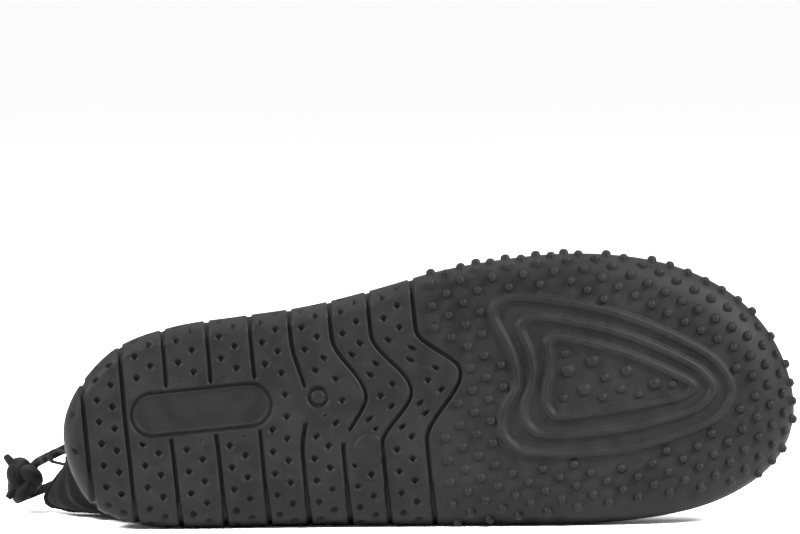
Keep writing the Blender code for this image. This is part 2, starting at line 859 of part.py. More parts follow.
def upper_columns():
    """Columns of the lateral and the medial side, heel first; both share their last points in front."""
    front = AROUND // 2 - COLLAR_STEPS
    throat = throat_turn()
    throat_along = (1 - math.cos(throat)) / 2
    sides = []
    for medial in (False, True):
        turns = collar_turns(medial)
        columns = []
        for i in range(AROUND // 2 + 1):
            foot = math.tau * i / AROUND
            if i < COLLAR_STEPS:
                turn = math.tau - turns[i] if medial else turns[i]
                columns.append(column_points(foot, turns[i], collar_rise(turn), medial))
            else:
                along = throat_along + (1 - throat_along) * (i - COLLAR_STEPS) / front
                columns.append(column_points(foot, turn_of(min(along, 1.0)), 1.0, medial))
        sides.append(columns)
    return sides


def make_upper(parts, finish):
    """Open surface of the upper, thickened inwards. Returns it and its collar's frames."""
    lateral, medial = upper_columns()
    last = AROUND // 2
    bm = bmesh.new()
    grid = [[bm.verts.new(point) for point in column] for column in lateral]
    other = [grid[0]]
    for i in range(1, last):
        column = [bm.verts.new(point) for point in medial[i][:-1]]
        column.append(grid[i][-1] if i >= COLLAR_STEPS else bm.verts.new(medial[i][-1]))
        other.append(column)
    other.append(grid[last])
    around = grid + other[-2:0:-1]
    for i, column in enumerate(around):
        beside = around[(i + 1) % len(around)]
        for row in range(len(column) - 1):
            corners = [column[row], beside[row], beside[row + 1], column[row + 1]]
            kept = [corner for k, corner in enumerate(corners) if corner not in corners[:k]]
            bm.faces.new(kept)
    bmesh.ops.recalc_face_normals(bm, faces=bm.faces)
    bm.normal_update()
    if grid[0][5].normal.x > 0:
        bmesh.ops.reverse_faces(bm, faces=bm.faces)
        bm.normal_update()
    loop = [column[-1] for column in grid[:COLLAR_STEPS + 1]]
    loop += [column[-1] for column in other[COLLAR_STEPS - 1:0:-1]]
    edge = [(vert.co.copy(), vert.normal.copy()) for vert in loop]
    mesh = bpy.data.meshes.new("upper")
    bm.to_mesh(mesh)
    bm.free()
    mesh.shade_smooth()
    mesh.materials.append(finish)
    made = bpy.data.objects.new("upper", mesh)
    parts.objects.link(made)
    shell = made.modifiers.new("wall", "SOLIDIFY")
    shell.thickness = UPPER_WALL
    shell.offset = -1.0
    shell.use_even_offset = True
    shell.use_quality_normals = True
    return made, edge


def collar_frames(edge):
    """Middle of the wall's edge, outward direction and upward direction at each collar point."""
    frames = []
    count = len(edge)
    for i, (point, normal) in enumerate(edge):
        along = (edge[(i + 1) % count][0] - edge[i - 1][0]).normalized()
        out = (normal - along * normal.dot(along)).normalized()
        frames.append((point - out * UPPER_WALL / 2, out, out.cross(along).normalized()))
    return frames


def make_binding(parts, frames, finish):
    """Rounded band that stands on the collar's edge and holds the drawcord."""
    half = BINDING_THICKNESS / 2
    section = (
        (-0.45, 0.00), (0.45, 0.00), (1.00, 0.25), (1.00, 0.74),
        (0.55, 1.00), (-0.55, 1.00), (-1.00, 0.74), (-1.00, 0.25),
    )
    rings = []
    for across, up in section:
        rings.append([
            center + out * (across * half) + upward * (BINDING_SEAT + up * BINDING_HEIGHT)
            for center, out, upward in frames
        ])
    bm = bmesh.new()
    tube_of(bm, rings)
    return mesh_object("collar_binding", bm, parts, finish)


def make_pull_loop(parts, frame, finish):
    """Flat folded loop of tape behind the middle of the heel."""
    center, out, upward = frame
    side = out.cross(upward).normalized()
    middle = BINDING_SEAT + BINDING_HEIGHT / 2
    start = center + out * (BINDING_THICKNESS / 2 + GAP) + upward * middle
    outer = LOOP_SLOT / 2 + LOOP_TAPE
    steps = 6

    def fold(radius, seat):
        points = [(seat, -radius)]
        for i in range(steps + 1):
            angle = math.pi * (i / steps - 0.5)
            points.append((LOOP_REACH - outer + radius * math.cos(angle), radius * math.sin(angle)))
        points.append((seat, radius))
        return points

    inner = LOOP_SLOT / 2
    corners = ((outer, 0.0, -0.5), (outer, 0.0, 0.5), (inner, LOOP_TAPE, 0.5), (inner, LOOP_TAPE, -0.5))
    rings = []
    for radius, seat, sideways in corners:
        rings.append([
            start + out * reach + side * across + upward * (sideways * LOOP_WIDTH)
            for reach, across in fold(radius, seat)
        ])
    bm = bmesh.new()
    tube_of(bm, rings)
    return mesh_object("heel_pull_loop", bm, parts, finish)


def strand_points(route):
    """Points at even steps along the smooth curve through a route."""
    points = [Vector(point) for point in route]
    run = [0.0]
    for first, second in zip(points, points[1:]):
        run.append(run[-1] + (second - first).length)
    count = round(run[-1] / CORD_STEP)
    columns = [[point[k] for point in points] for k in range(3)]
    places = [run[-1] * i / count for i in range(count + 1)]
    return [[smooth_read(run, column, place) for column in columns] for place in places]


def make_strand(name, route, parts, finish):
    points = strand_points(route)
    curve = bpy.data.curves.new(name, "CURVE")
    curve.dimensions = "3D"
    curve.bevel_depth = CORD_DIAMETER / 2
    curve.bevel_resolution = 2
    curve.use_fill_caps = True
    spline = curve.splines.new("POLY")
    spline.points.add(len(points) - 1)
    for target, point in zip(spline.points, points):
        target.co = (*point, 1.0)
    curve.materials.append(finish)
    made = bpy.data.objects.new(name, curve)
    parts.objects.link(made)
    return made


def make_knot(parts, cutters, finish):
    """Lump of the tied cord, with its two short ends."""
    center = Vector(KNOT_CENTER)
    bm = bmesh.new()
    place = Matrix.Translation(center) @ Matrix.Diagonal((*KNOT_RADII, 1.0))
    bmesh.ops.create_uvsphere(bm, u_segments=12, v_segments=8, radius=1.0, matrix=place)
    knot = mesh_object("drawcord_knot", bm, parts, finish)
    for i, tip in enumerate(KNOT_TAILS):
        bm = bmesh.new()
        way = Vector(tip) - center
        place = Matrix.Translation(center + way / 2) @ way.to_track_quat("Z", "Y").to_matrix().to_4x4()
        bmesh.ops.create_cone(
            bm, cap_ends=True, segments=8, radius1=CORD_DIAMETER / 2, radius2=CORD_DIAMETER / 2,
            depth=way.length, matrix=place,
        )
        add_boolean(knot, mesh_object(f"knot_tail_{i + 1}", bm, cutters), "UNION")
    return knot


def world_points(objects):
    """Points of the finished solids, in the standing shoe's frame."""
    graph = bpy.context.evaluated_depsgraph_get()
    points = []
    for item in objects:
        shaped = item.evaluated_get(graph)
        mesh = shaped.to_mesh()
        points += [vert.co.copy() for vert in mesh.vertices]
        shaped.to_mesh_clear()
    return points


def resting_rotation(points):
    """Rotation that lays the shoe on the face of its hull under the balance point, medial side down."""
    balance = Vector((BALANCE[0] * LENGTH, BALANCE[1] * BALL_WIDTH, BALANCE[2] * INSTEP_HEIGHT))
    bm = bmesh.new()
    for point in points:
        bm.verts.new(point)
    bmesh.ops.convex_hull(bm, input=bm.verts)
    best = None
    for face in bm.faces:
        down = face.normal.copy()
        if down.y < 0.8:
            continue
        depth = (face.verts[0].co - balance).dot(down)
        foot = balance + down * depth
        if bmesh.geometry.intersect_face_point(face, foot) and (best is None or depth < best[0]):
            best = (depth, down)
    bm.free()
    up = -best[1]
    sole = Vector((0.0, 0.0, -1.0))
    back = -(sole - up * sole.dot(up)).normalized()
    return Matrix((back.cross(up), back, up)).to_4x4()


def lay_down(objects, cutters):
    """Lay the shoe on its side on the floor, with the middle of its box over the origin."""
    points = world_points(objects)
    rotation = resting_rotation(points)
    turned = [rotation @ point for point in points]
    low = Vector([min(point[k] for point in turned) for k in range(3)])
    high = Vector([max(point[k] for point in turned) for k in range(3)])
    shift = Vector((-(low.x + high.x) / 2, -(low.y + high.y) / 2, -low.z))
    rest = bpy.data.objects.new("shoe_at_rest", None)
    bpy.data.collections[COLLECTION_NAME].objects.link(rest)
    rest.rotation_euler = rotation.to_euler()
    rest.location = shift
    for item in [*objects, *cutters]:
        item.parent = rest


def main():
    clear_scene()
    parts = new_collection(COLLECTION_NAME)
    cutters = new_collection("cutters")
    rubber = material("sole_rubber", (0.045, 0.045, 0.048), 0.62)
    foam = material("insole_foam", (0.07, 0.07, 0.075), 0.9)
    fabric = material("upper_fabric", (0.03, 0.03, 0.032), 0.85)
    tape = material("collar_tape", (0.025, 0.025, 0.027), 0.8)
    webbing = material("loop_webbing", (0.09, 0.09, 0.095), 0.85)
    outsole = make_outsole(parts, cutters, rubber)
    insole = make_insole(parts, foam)
    upper, edge = make_upper(parts, fabric)
    frames = collar_frames(edge)
    binding = make_binding(parts, frames, tape)
    loop = make_pull_loop(parts, frames[0], webbing)
    lay_down([outsole, insole, upper, binding, loop], cutters.objects)
    cord = material("drawcord_braid", (0.02, 0.02, 0.021), 0.8)
    make_strand("drawcord_strand_upper", STRAND_UPPER, parts, cord)
    make_strand("drawcord_strand_lower", STRAND_LOWER, parts, cord)
    make_knot(parts, cutters, cord)


main()
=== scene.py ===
import json
import math

import bpy
import numpy as np
from mathutils import Matrix, Vector


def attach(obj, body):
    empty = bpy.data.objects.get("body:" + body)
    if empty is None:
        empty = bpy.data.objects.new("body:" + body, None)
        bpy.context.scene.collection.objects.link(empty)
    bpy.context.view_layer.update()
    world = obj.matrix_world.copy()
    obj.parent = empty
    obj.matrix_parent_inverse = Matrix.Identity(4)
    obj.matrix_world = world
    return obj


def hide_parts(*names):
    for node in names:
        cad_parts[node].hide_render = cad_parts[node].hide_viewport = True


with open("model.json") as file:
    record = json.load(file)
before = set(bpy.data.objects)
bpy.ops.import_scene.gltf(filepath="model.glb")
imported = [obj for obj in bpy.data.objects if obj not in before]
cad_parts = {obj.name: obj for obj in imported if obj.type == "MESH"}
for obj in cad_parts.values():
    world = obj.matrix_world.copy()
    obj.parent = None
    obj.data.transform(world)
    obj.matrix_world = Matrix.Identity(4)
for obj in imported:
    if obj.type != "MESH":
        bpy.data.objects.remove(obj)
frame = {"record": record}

# The looks of a right water shoe that lies on its medial side, its studded sole to the camera.
# Shapes are worked out standing on the tread (x heel to toe, y medial, z up) and laid over at the end.
# Metres throughout.

TAU = 2 * np.pi
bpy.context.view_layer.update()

# The last and the sole, as in the solids
LENGTH = 0.271
BALL_WIDTH = 0.101
INSTEP_HEIGHT = 0.083
HEEL_HEIGHT = 0.071
TOE_SPRING = 0.009
SPRING_START = 0.60
SOLE_THICKNESS = 0.005
SIDE_ROUND = 0.015
BULGE_HEIGHT = 0.011
BULGE_SHARE = 0.6
RAND_HEIGHT = 0.018
RAND_LEAN = 0.001
RAND_WALL = 0.0022
UPPER_WALL = 0.0024
INSOLE_THICKNESS = 0.004
BINDING_THICKNESS = 0.0038
BINDING_HEIGHT = 0.0052
BINDING_SEAT = 0.0007
GAP = 0.0003
SPINE_BACK = 0.14
SPINE_FRONT = 0.86
SLACK_BACK = 0.022
SLACK_CORNER = 0.0175
SLACK_SIDE = 0.0022
SLACK_DROOP = 0.010
SLACK_START = 0.10
SLACK_END = 0.42

# Relief of the tread, placed as in the solids, with widths and heights that suit the looks
GROOVE_WIDTH = 0.0015
CHEVRON_WIDTH = 0.0013
GROOVE_DEPTH = 0.0015
GROOVE_TOP = 0.86
CHEVRON_LATERAL = -0.27
CHEVRON_MEDIAL = 0.14
CHEVRON_FADE = (0.50, 0.80)
PANEL_LENGTH = 0.0532
PANEL_WIDTH = 0.0172
PANEL_RIM = 0.0016
PANEL_STEP = 0.0006
PANEL_DEPTH = 0.0013
PANEL_ALONG = 0.1925
PANEL_ACROSS = -0.056
GATE_ALONG = 0.3525
GATE_ACROSS = -0.060
GATE_RADIUS = 0.0040
GATE_CORE = 0.0025
GATE_DEPTH = 0.0012
DISC_ALONG = 0.4145
DISC_ACROSS = 0.152
DISC_RADIUS = 0.0055
DISC_HEIGHT = 0.0006
RIDGE_WIDTH = 0.0034
RIDGE_HEIGHT = 0.0016
STUD_PITCH_ALONG = 0.01153
STUD_PITCH_ACROSS = 0.00785
STUD_ORIGIN = (0.17526, 0.0275)
STUD_SKEW = (0.0284, -0.026, -0.677)
STUD_SIDE_TOP = 0.56
STUD_DIAMETER = 0.0035
STUD_HEIGHT = 0.0018
STUD_WORN = 0.5
DOME_SHARE = 0.29
LOOP_WIDTH = 0.008
LOOP_REACH = 0.0065
LOOP_TAPE = 0.0011
LOOP_SLOT = 0.0034
CORD_DIAMETER = 0.0034

# Fine relief that only the looks have
PIT_RADIUS = 0.0018
PIT_DEPTH = 0.0014
PIT_PITCH = 0.0081
PIT_COLUMNS = (-0.0030, 0.0024)
HEEL_PITS = ((0.0045, -0.0108), (0.0045, 0.0071))
PANEL_CLEAR = (0.0022, 0.0027)
GATE_CLEAR = (0.0068, 0.0074)
DISC_CLEAR = (0.0072, 0.0078)
MOULD_LINE = 0.00035
MOULD_RISE = 0.00015
EDGE_SOFTNESS = 0.00028
GROOVE_FLARE = 0.00015
WHOLE_FADE = 0.007
INSOLE_ROUND = 0.0007
LOOP_SEAT = -0.0025
TAPE_ROUND = 0.00035
CORD_STEP = 0.00035
KNOT_STRAND = 0.0029
KNOT_CORE = 0.0046

# How finely the surfaces are divided
EDGE_LINES = 530
TREAD_COLUMNS = 150
COLLAR_SHARE = 0.5
UPPER_COLUMNS = 200
UPPER_ROWS = 64
BINDING_COLUMNS = 420

# Half widths in shares of BALL_WIDTH, and the rounded side's width in shares of SIDE_ROUND
OUTLINE = np.array((
    # along, lateral, medial, round_lateral, round_medial
    (0.000, 0.000, 0.000, 0.38, 0.38),
    (0.010, 0.112, 0.151, 0.36, 0.48),
    (0.035, 0.209, 0.262, 0.36, 0.56),
    (0.090, 0.322, 0.335, 0.38, 0.64),
    (0.170, 0.373, 0.372, 0.45, 0.74),
    (0.260, 0.385, 0.387, 0.46, 0.92),
    (0.350, 0.397, 0.406, 0.46, 1.06),
    (0.440, 0.431, 0.434, 0.44, 1.06),
    (0.530, 0.474, 0.459, 0.40, 1.00),
    (0.620, 0.494, 0.484, 0.38, 0.82),
    (0.710, 0.492, 0.502, 0.46, 0.78),
    (0.800, 0.455, 0.500, 0.74, 0.92),
    (0.870, 0.389, 0.474, 0.92, 0.98),
    (0.930, 0.284, 0.413, 1.00, 1.00),
    (0.970, 0.156, 0.332, 1.00, 1.00),
    (0.990, 0.040, 0.250, 1.00, 1.00),
    (1.000, -0.127, 0.127, 1.00, 1.00),
))

# Top line of the last
RIDGE = np.array((
    # along, height, across, squareness, swell
    (0.00, 1.20, 0.00, 2.00, -0.006),
    (0.14, 1.11, 0.01, 2.05, -0.006),
    (0.25, 1.05, 0.03, 2.20, 0.016),
    (0.36, 1.02, 0.05, 2.35, 0.036),
    (0.43, 1.00, 0.05, 2.30, 0.034),
    (0.50, 0.92, 0.05, 2.10, 0.024),
    (0.60, 0.77, 0.06, 2.00, 0.012),
    (0.70, 0.645, 0.07, 2.10, 0.008),
    (0.80, 0.550, 0.09, 2.20, 0.010),
    (0.86, 0.510, 0.10, 2.30, 0.012),
    (1.00, 0.430, 0.12, 2.30, 0.014),
))

# Top edge of the collar from the side, in shares of HEEL_HEIGHT
COLLAR = np.array((
    # along, height
    (-0.10, 1.02),
    (0.03, 1.00),
    (0.10, 0.95),
    (0.19, 0.87),
    (0.27, 0.86),
    (0.34, 0.91),
    (0.40, 1.03),
    (0.43, 1.16),
    (0.50, 1.50),
))

# Grooves between the ribs: place at the sides and rise of the chevron in shares of LENGTH, and across
# the sole, in shares of BALL_WIDTH, the chevron's peak and the stretch that stays whole
GROOVES = (
    # along, rise, peak, whole_from, whole_to
    (0.0330, 0.000, -0.05, None, None),
    (0.0890, 0.000, -0.05, None, None),
    (0.1490, 0.000, -0.05, -0.150, 0.038),
    (0.2100, 0.000, -0.05, -0.150, 0.038),
    (0.2690, 0.000, -0.05, -0.150, 0.038),
    (0.3235, 0.014, -0.05, -0.100, 0.030),
    (0.3790, 0.038, -0.05, 0.075, 0.118),
    (0.4325, 0.047, -0.05, None, None),
    (0.4935, 0.055, -0.10, None, None),
)

# Where the first pit of each rib's two columns lies across, and the pair's shift to the toe, in metres
PIT_PHASES = (
    # heel-side column, toe-side column, shift
    (0.0031, -0.0019, 0.0009),
    (0.0047, 0.0006, 0.0004),
    (0.0004, 0.0045, -0.0002),
    (0.0005, 0.0046, -0.0006),
    (0.0043, 0.0000, -0.0004),
    (0.0003, 0.0042, -0.0003),
    (0.0040, 0.0001, -0.0002),
    (0.0000, 0.0039, 0.0000),
)

# The fin under the ball: outermost and innermost ridge, in shares of LENGTH and BALL_WIDTH
FIN = np.array((
    # outer_along, outer_across, inner_along, inner_across
    (0.600, -0.296, 0.671, -0.172),
    (0.610, -0.335, 0.678, -0.186),
    (0.643, -0.345, 0.689, -0.188),
    (0.739, -0.280, 0.742, -0.138),
    (0.810, -0.198, 0.794, -0.077),
    (0.878, -0.087, 0.840, -0.007),
    (0.905, -0.011, 0.856, 0.020),
    (0.915, 0.072, 0.862, 0.044),
    (0.897, 0.147, 0.852, 0.065),
    (0.860, 0.193, 0.829, 0.078),
    (0.776, 0.240, 0.773, 0.093),
    (0.697, 0.243, 0.708, 0.102),
    (0.629, 0.220, 0.675, 0.102),
    (0.605, 0.182, 0.664, 0.086),
    (0.596, 0.128, 0.659, 0.053),
    (0.602, 0.054, 0.660, 0.024),
    (0.620, -0.016, 0.663, -0.019),
    (0.624, -0.076, 0.669, -0.066),
    (0.617, -0.168, 0.671, -0.121),
    (0.606, -0.237, 0.670, -0.151),
))

# Domes inside the fin, in shares of LENGTH and BALL_WIDTH, and their diameters in metres
DOMES = (
    # along, across, diameter
    (0.693, -0.062, 0.0048),
    (0.728, -0.088, 0.0048),
    (0.713, 0.012, 0.0048),
    (0.773, -0.041, 0.0044),
    (0.809, 0.016, 0.0046),
    (0.692, -0.126, 0.0032),
    (0.684, 0.035, 0.0030),
    (0.743, -0.024, 0.0032),
    (0.737, 0.047, 0.0032),
    (0.763, 0.024, 0.0032),
    (0.786, 0.050, 0.0028),
    (0.834, 0.025, 0.0034),
)

# Creases across the upper behind the toes, in metres
VAMP_CREASES = (
    # along, lean, half_width, depth
    (0.176, 0.10, 0.0042, 0.0011),
    (0.190, -0.16, 0.0038, 0.0008),
    (0.160, 0.22, 0.0050, 0.0007),
    (0.205, 0.06, 0.0036, 0.0005),
)

# Folds of the slack fabric at the heel, in metres
HEEL_FOLD_WIDTH = 0.0036
HEEL_FOLD_SLOPE = 0.12
HEEL_FOLDS = (
    # height, along, reach, depth
    (0.040, 0.014, 0.045, 0.0010),
    (0.052, 0.010, 0.050, 0.0012),
    (0.061, 0.030, 0.040, 0.0008),
)

# Routes of the drawcord strands and the place of the knot, with the shoe at rest
STRAND_UPPER = (
    (-0.1264, 0.0353, 0.0269),
    (-0.1273, 0.0399, 0.0265),
    (-0.1299, 0.0438, 0.0253),
    (-0.1336, 0.0464, 0.0237),
    (-0.1376, 0.0471, 0.0218),
    (-0.1413, 0.0457, 0.0202),
    (-0.1439, 0.0426, 0.0190),
    (-0.1448, 0.0383, 0.0186),
)
STRAND_LOWER = (
    (-0.1365, 0.0348, 0.0115),
    (-0.1373, 0.0399, 0.0108),
    (-0.1394, 0.0443, 0.0095),
    (-0.1426, 0.0471, 0.0081),
    (-0.1460, 0.0478, 0.0067),
    (-0.1492, 0.0462, 0.0056),
    (-0.1513, 0.0427, 0.0051),
    (-0.1521, 0.0379, 0.0052),
)
KNOT_CENTER = np.array((-0.1495, 0.0335, 0.0129))
KNOT_RADII = np.array((0.0072, 0.0060, 0.0090))

# The two cut ends, from the middle of the knot
KNOT_ENDS = (
    (
        (-0.0014, -0.0012, 0.0030),
        (-0.0036, -0.0020, 0.0058),
        (-0.0052, -0.0014, 0.0078),
        (-0.0064, -0.0008, 0.0092),
    ),
    (
        (-0.0010, -0.0016, -0.0020),
        (-0.0036, -0.0034, -0.0040),
        (-0.0056, -0.0036, -0.0068),
    ),
)

# How the shoe lies: the lean about its length comes from the heel's flat, the rise of the toe is here
RISE = math.radians(5.3065)


def resting():
    """Rotation and shift from the standing shoe to the shoe at rest."""
    mount = frame["record"]["mounts"][0]
    axis = mount["axis"]
    lean = math.atan2(axis[2], -axis[1])
    x_way = np.array((math.cos(RISE), math.sin(RISE) * math.sin(lean), math.sin(RISE) * math.cos(lean)))
    z_way = np.array((0.0, math.cos(lean), -math.sin(lean)))
    turn = np.column_stack((x_way, np.cross(z_way, x_way), z_way))
    heel_flat = np.array((LENGTH * (GROOVES[0][0] + GROOVES[1][0]) / 2, 0.0, 0.0))
    return turn, np.array(mount["pos_m"]) - turn @ heel_flat


TURN, SHIFT = resting()


def at_rest(points):
    return np.asarray(points) @ TURN.T + SHIFT


# Shape of the last and the sole, for arrays of places


def between(u, start, leaving, end, arriving):
    """Smooth value between two ends with given slopes, for u from 0 to 1."""
    first = start * (1 + 2 * u) * (1 - u) ** 2 + leaving * u * (1 - u) ** 2
    return first + end * u * u * (3 - 2 * u) + arriving * u * u * (u - 1)


def read(places, values, at):
    """Values at places on the smooth curve through the given ones."""
    slopes = np.empty_like(values)
    slopes[1:-1] = (values[2:] - values[:-2]) / (places[2:] - places[:-2])
    slopes[0] = (values[1] - values[0]) / (places[1] - places[0])
    slopes[-1] = (values[-1] - values[-2]) / (places[-1] - places[-2])
    at = np.clip(at, places[0], places[-1])
    k = np.clip(np.searchsorted(places, at, side="right") - 1, 0, len(places) - 2)
    span = places[k + 1] - places[k]
    u = (at - places[k]) / span
    return between(u, values[k], span * slopes[k], values[k + 1], span * slopes[k + 1])


def ease(start, end, at):
    """0 before start, 1 after end, eased between them."""
    u = np.clip((at - start) / (end - start), 0.0, 1.0)
    return u * u * (3 - 2 * u)


def unit(vectors):
    return vectors / np.maximum(np.linalg.norm(vectors, axis=-1, keepdims=True), 1e-12)


def run_along(lines):
    """Distance run at every point of one line or of many."""
    steps = np.linalg.norm(np.diff(lines, axis=-2), axis=-1)
    return np.concatenate([np.zeros_like(steps[..., :1]), np.cumsum(steps, axis=-1)], -1)


def halving(below, low, high, times):
    """The last low and high around the place where below turns from true to false."""
    for _ in range(times):
        middle = (low + high) / 2
        under = below(middle)
        low, high = np.where(under, middle, low), np.where(under, high, middle)
    return low, high


def turn_of(along):
    return np.arccos(1 - 2 * np.asarray(along))


OUTLINE_TURNS = turn_of(OUTLINE[:, 0])


def folded(turn):
    turn = np.mod(turn, TAU)
    medial = turn > np.pi
    return np.where(medial, TAU - turn, turn), medial


def by_side(turn, lateral, medial):
    """Values round the outline, read from a column for each side."""
    half, on_medial = folded(turn)
    return np.where(on_medial, read(OUTLINE_TURNS, medial, half), read(OUTLINE_TURNS, lateral, half))


def outline(turn):
    """Point of the widest outline; the turn runs heel, lateral side, toe, medial side."""
    across = by_side(turn, -OUTLINE[:, 1], OUTLINE[:, 2]) * BALL_WIDTH
    return np.stack([LENGTH * (1 - np.cos(folded(turn)[0])) / 2, across], -1)


def all_round(halves):
    """Turns from the heel down the lateral side to the toe and back up the medial side."""
    return np.concatenate([halves[:-1], TAU - halves[:0:-1]])


def round_width(turn):
    return by_side(turn, OUTLINE[:, 3], OUTLINE[:, 4]) * SIDE_ROUND


def inward(turn):
    along = outline(turn + 0.01) - outline(turn - 0.01)
    return unit(np.stack([-along[..., 1], along[..., 0]], -1))


def spring(x):
    """Height of the tread over the floor plane of the standing shoe."""
    beyond = np.maximum(0.0, (x / LENGTH - SPRING_START) / (1 - SPRING_START))
    return TOE_SPRING * beyond ** 2


def profile(width, share):
    """Inset and height on the sole's side; share 0 is the tread's edge and 1 the rand's top."""
    width, share = np.broadcast_arrays(width, share)
    angle = share / BULGE_SHARE * np.pi / 2
    up = (share - BULGE_SHARE) / (1 - BULGE_SHARE)
    low = np.stack([width * (1 - np.sin(angle)), BULGE_HEIGHT * (1 - np.cos(angle))], -1)
    high = np.stack([RAND_LEAN * up ** 2, BULGE_HEIGHT + (RAND_HEIGHT - BULGE_HEIGHT) * up], -1)
    return np.where((share < BULGE_SHARE)[..., None], low, high)


def skin(turn, share, out=0.0):
    """Points on the sole's side, moved out of the rubber by the given distances."""
    turn, share, out = np.broadcast_arrays(turn, share, out)
    width = round_width(turn)
    rising = profile(width, np.minimum(share + 0.01, 1.0)) - profile(width, np.maximum(share - 0.01, 0.0))
    rising = unit(rising)
    normal = np.stack([-rising[..., 1], rising[..., 0]], -1)
    place = profile(width, share) + normal * out[..., None]
    plan = outline(turn) + inward(turn) * place[..., :1]
    return np.concatenate([plan, (place[..., 1] + spring(plan[..., 0]))[..., None]], -1)


def share_at_height(turn, out, height):
    """Share up the side where the moved skin reaches a height over the tread."""
    def below(share):
        point = skin(turn, share, out)
        return point[..., 2] - spring(point[..., 0]) < height

    return halving(below, np.zeros_like(turn), np.ones_like(turn), 24)[1]


def read_ridge(column, x):
    return read(RIDGE[:, 0], RIDGE[:, column], x / LENGTH)


def ridge_height(x):
    return read_ridge(1, x) * INSTEP_HEIGHT


def ridge_point(half):
    x = (SPINE_BACK + (SPINE_FRONT - SPINE_BACK) * (1 - np.cos(half)) / 2) * LENGTH
    return np.stack([x, read_ridge(2, x) * BALL_WIDTH, ridge_height(x)], -1)


def last_point(turn, rise):
    """Points of the last over the rand; rise is 0 at the rand's top and 1 on the ridge."""
    foot = skin(turn, 1.0, -(RAND_WALL + GAP))
    top = ridge_point(folded(turn)[0])
    power = 2 / read_ridge(3, top[..., 0])
    angle = np.clip(rise, 0.0, 1.0) * np.pi / 2
    inset = np.where(rise < 1, 1 - np.maximum(np.cos(angle), 0.0) ** power, 1.0)
    height = np.sin(angle) ** power
    swell = read_ridge(4, foot[..., 0]) * BALL_WIDTH * np.sin(np.pi * height)
    plan = foot[..., :2] + (top[..., :2] - foot[..., :2]) * inset[..., None] - inward(turn) * swell[..., None]
    z = foot[..., 2] + (ridge_height(plan[..., 0]) - foot[..., 2]) * height
    return np.concatenate([plan, z[..., None]], -1)


def collar_height(x):
    return read(COLLAR[:, 0], COLLAR[:, 1], x / LENGTH) * HEEL_HEIGHT


def under_collar(point):
    return point[..., 2] < collar_height(point[..., 0])


def collar_rise(turn):
    """Rise at which each turn's line meets the collar's edge, or 1 in front of the collar."""
    low, high = np.zeros_like(turn), np.ones_like(turn)
    closed = under_collar(last_point(turn, high))
    return np.where(closed, 1.0, halving(lambda rise: under_collar(last_point(turn, rise)), low, high, 30)[1])


def throat_turn():
    """Turn at which the collar's edge meets the ridge."""
    low, high = np.array(0.3), np.array(math.pi / 2 + 0.3)
    return float(halving(lambda turn: ~under_collar(ridge_point(turn)), low, high, 40)[0])


def slack(points):
    """Where points of the worn, soft collar have sunk to."""
    x, y, z = points[..., 0], points[..., 1], points[..., 2]
    lift = np.clip((z - RAND_HEIGHT) / (HEEL_HEIGHT - RAND_HEIGHT), 0.0, 1.3) ** 1.5
    rear = 1 - ease(SLACK_START, SLACK_END, x / LENGTH)
    medial = np.clip(0.5 + y / (0.7 * BALL_WIDTH), 0.0, 1.0)
    corner = ease(0.0, 0.25, y / BALL_WIDTH)
    back = (SLACK_BACK * (0.4 + 0.6 * medial) + SLACK_CORNER * corner) * lift * rear
    side = (SLACK_SIDE + SLACK_DROOP * (1 - medial)) * lift * rear
    return points + np.stack([-back, side, np.zeros_like(back)], -1)


# Meshes from arrays


def linked(name, data):
    made = bpy.data.objects.new(name, data)
    bpy.context.scene.collection.objects.link(made)
    return made


def add_object(name, points, faces, finish, uv=None, layers=None, local=True):
    """Smooth mesh object in the row frame, with a texture map in centimetres if one is given."""
    points = at_rest(points) if local else np.asarray(points)
    mesh = bpy.data.meshes.new(name)
    mesh.from_pydata(points.tolist(), [], faces)
    mesh.validate()
    mesh.shade_smooth()
    mesh.materials.append(finish)
    if uv is not None:
        layer = mesh.uv_layers.new(name="map")
        corners = np.empty(len(mesh.loops), dtype=np.int64)
        mesh.loops.foreach_get("vertex_index", corners)
        layer.data.foreach_set("uv", (np.asarray(uv)[corners] * 100).ravel())
    for title, values in (layers or {}).items():
        attribute = mesh.attributes.new(title, "FLOAT", "POINT")
        attribute.data.foreach_set("value", np.asarray(values, dtype=np.float64))
    return linked(name, mesh)


def numbered(points):
    """Vertex numbers of a grid of points."""
    return np.arange(points.shape[0] * points.shape[1]).reshape(points.shape[:2])


def spread(first, second):
    """Texture places of a grid, from the runs along its two ways."""
    return np.stack(np.meshgrid(first, second, indexing="ij"), -1).reshape(-1, 2)


def grid_faces(index, wrap_rows=False, wrap_columns=False, flip=False):
    """Faces over a grid of vertex numbers; corners that coincide are left out."""
    if wrap_rows:
        index = np.concatenate([index, index[:1]], 0)
    if wrap_columns:
        index = np.concatenate([index, index[:, :1]], 1)
    corners = np.stack([index[:-1, :-1], index[1:, :-1], index[1:, 1:], index[:-1, 1:]], -1).reshape(-1, 4)
    if flip:
        corners = corners[:, ::-1]
    twin = (corners[:, 0] == corners[:, 1]) | (corners[:, 1] == corners[:, 2])
    twin |= (corners[:, 2] == corners[:, 3]) | (corners[:, 3] == corners[:, 0])
    faces = corners[~twin].tolist()
    for face in corners[twin].tolist():
        kept = [corner for k, corner in enumerate(face) if corner not in face[:k]]
        if len(kept) > 2:
            faces.append(kept)
    return faces


def cap_faces(rim, flip):
    """Faces across a ring that runs from the heel round both sides."""
    count = len(rim)
    half = count // 2
    faces = [[rim[0], rim[1], rim[count - 1]], [rim[half - 1], rim[half], rim[half + 1]]]
    faces += [[rim[i], rim[i + 1], rim[count - i - 1], rim[count - i]] for i in range(1, half - 1)]
    return [[int(corner) for corner in (face[::-1] if flip else face)] for face in faces]


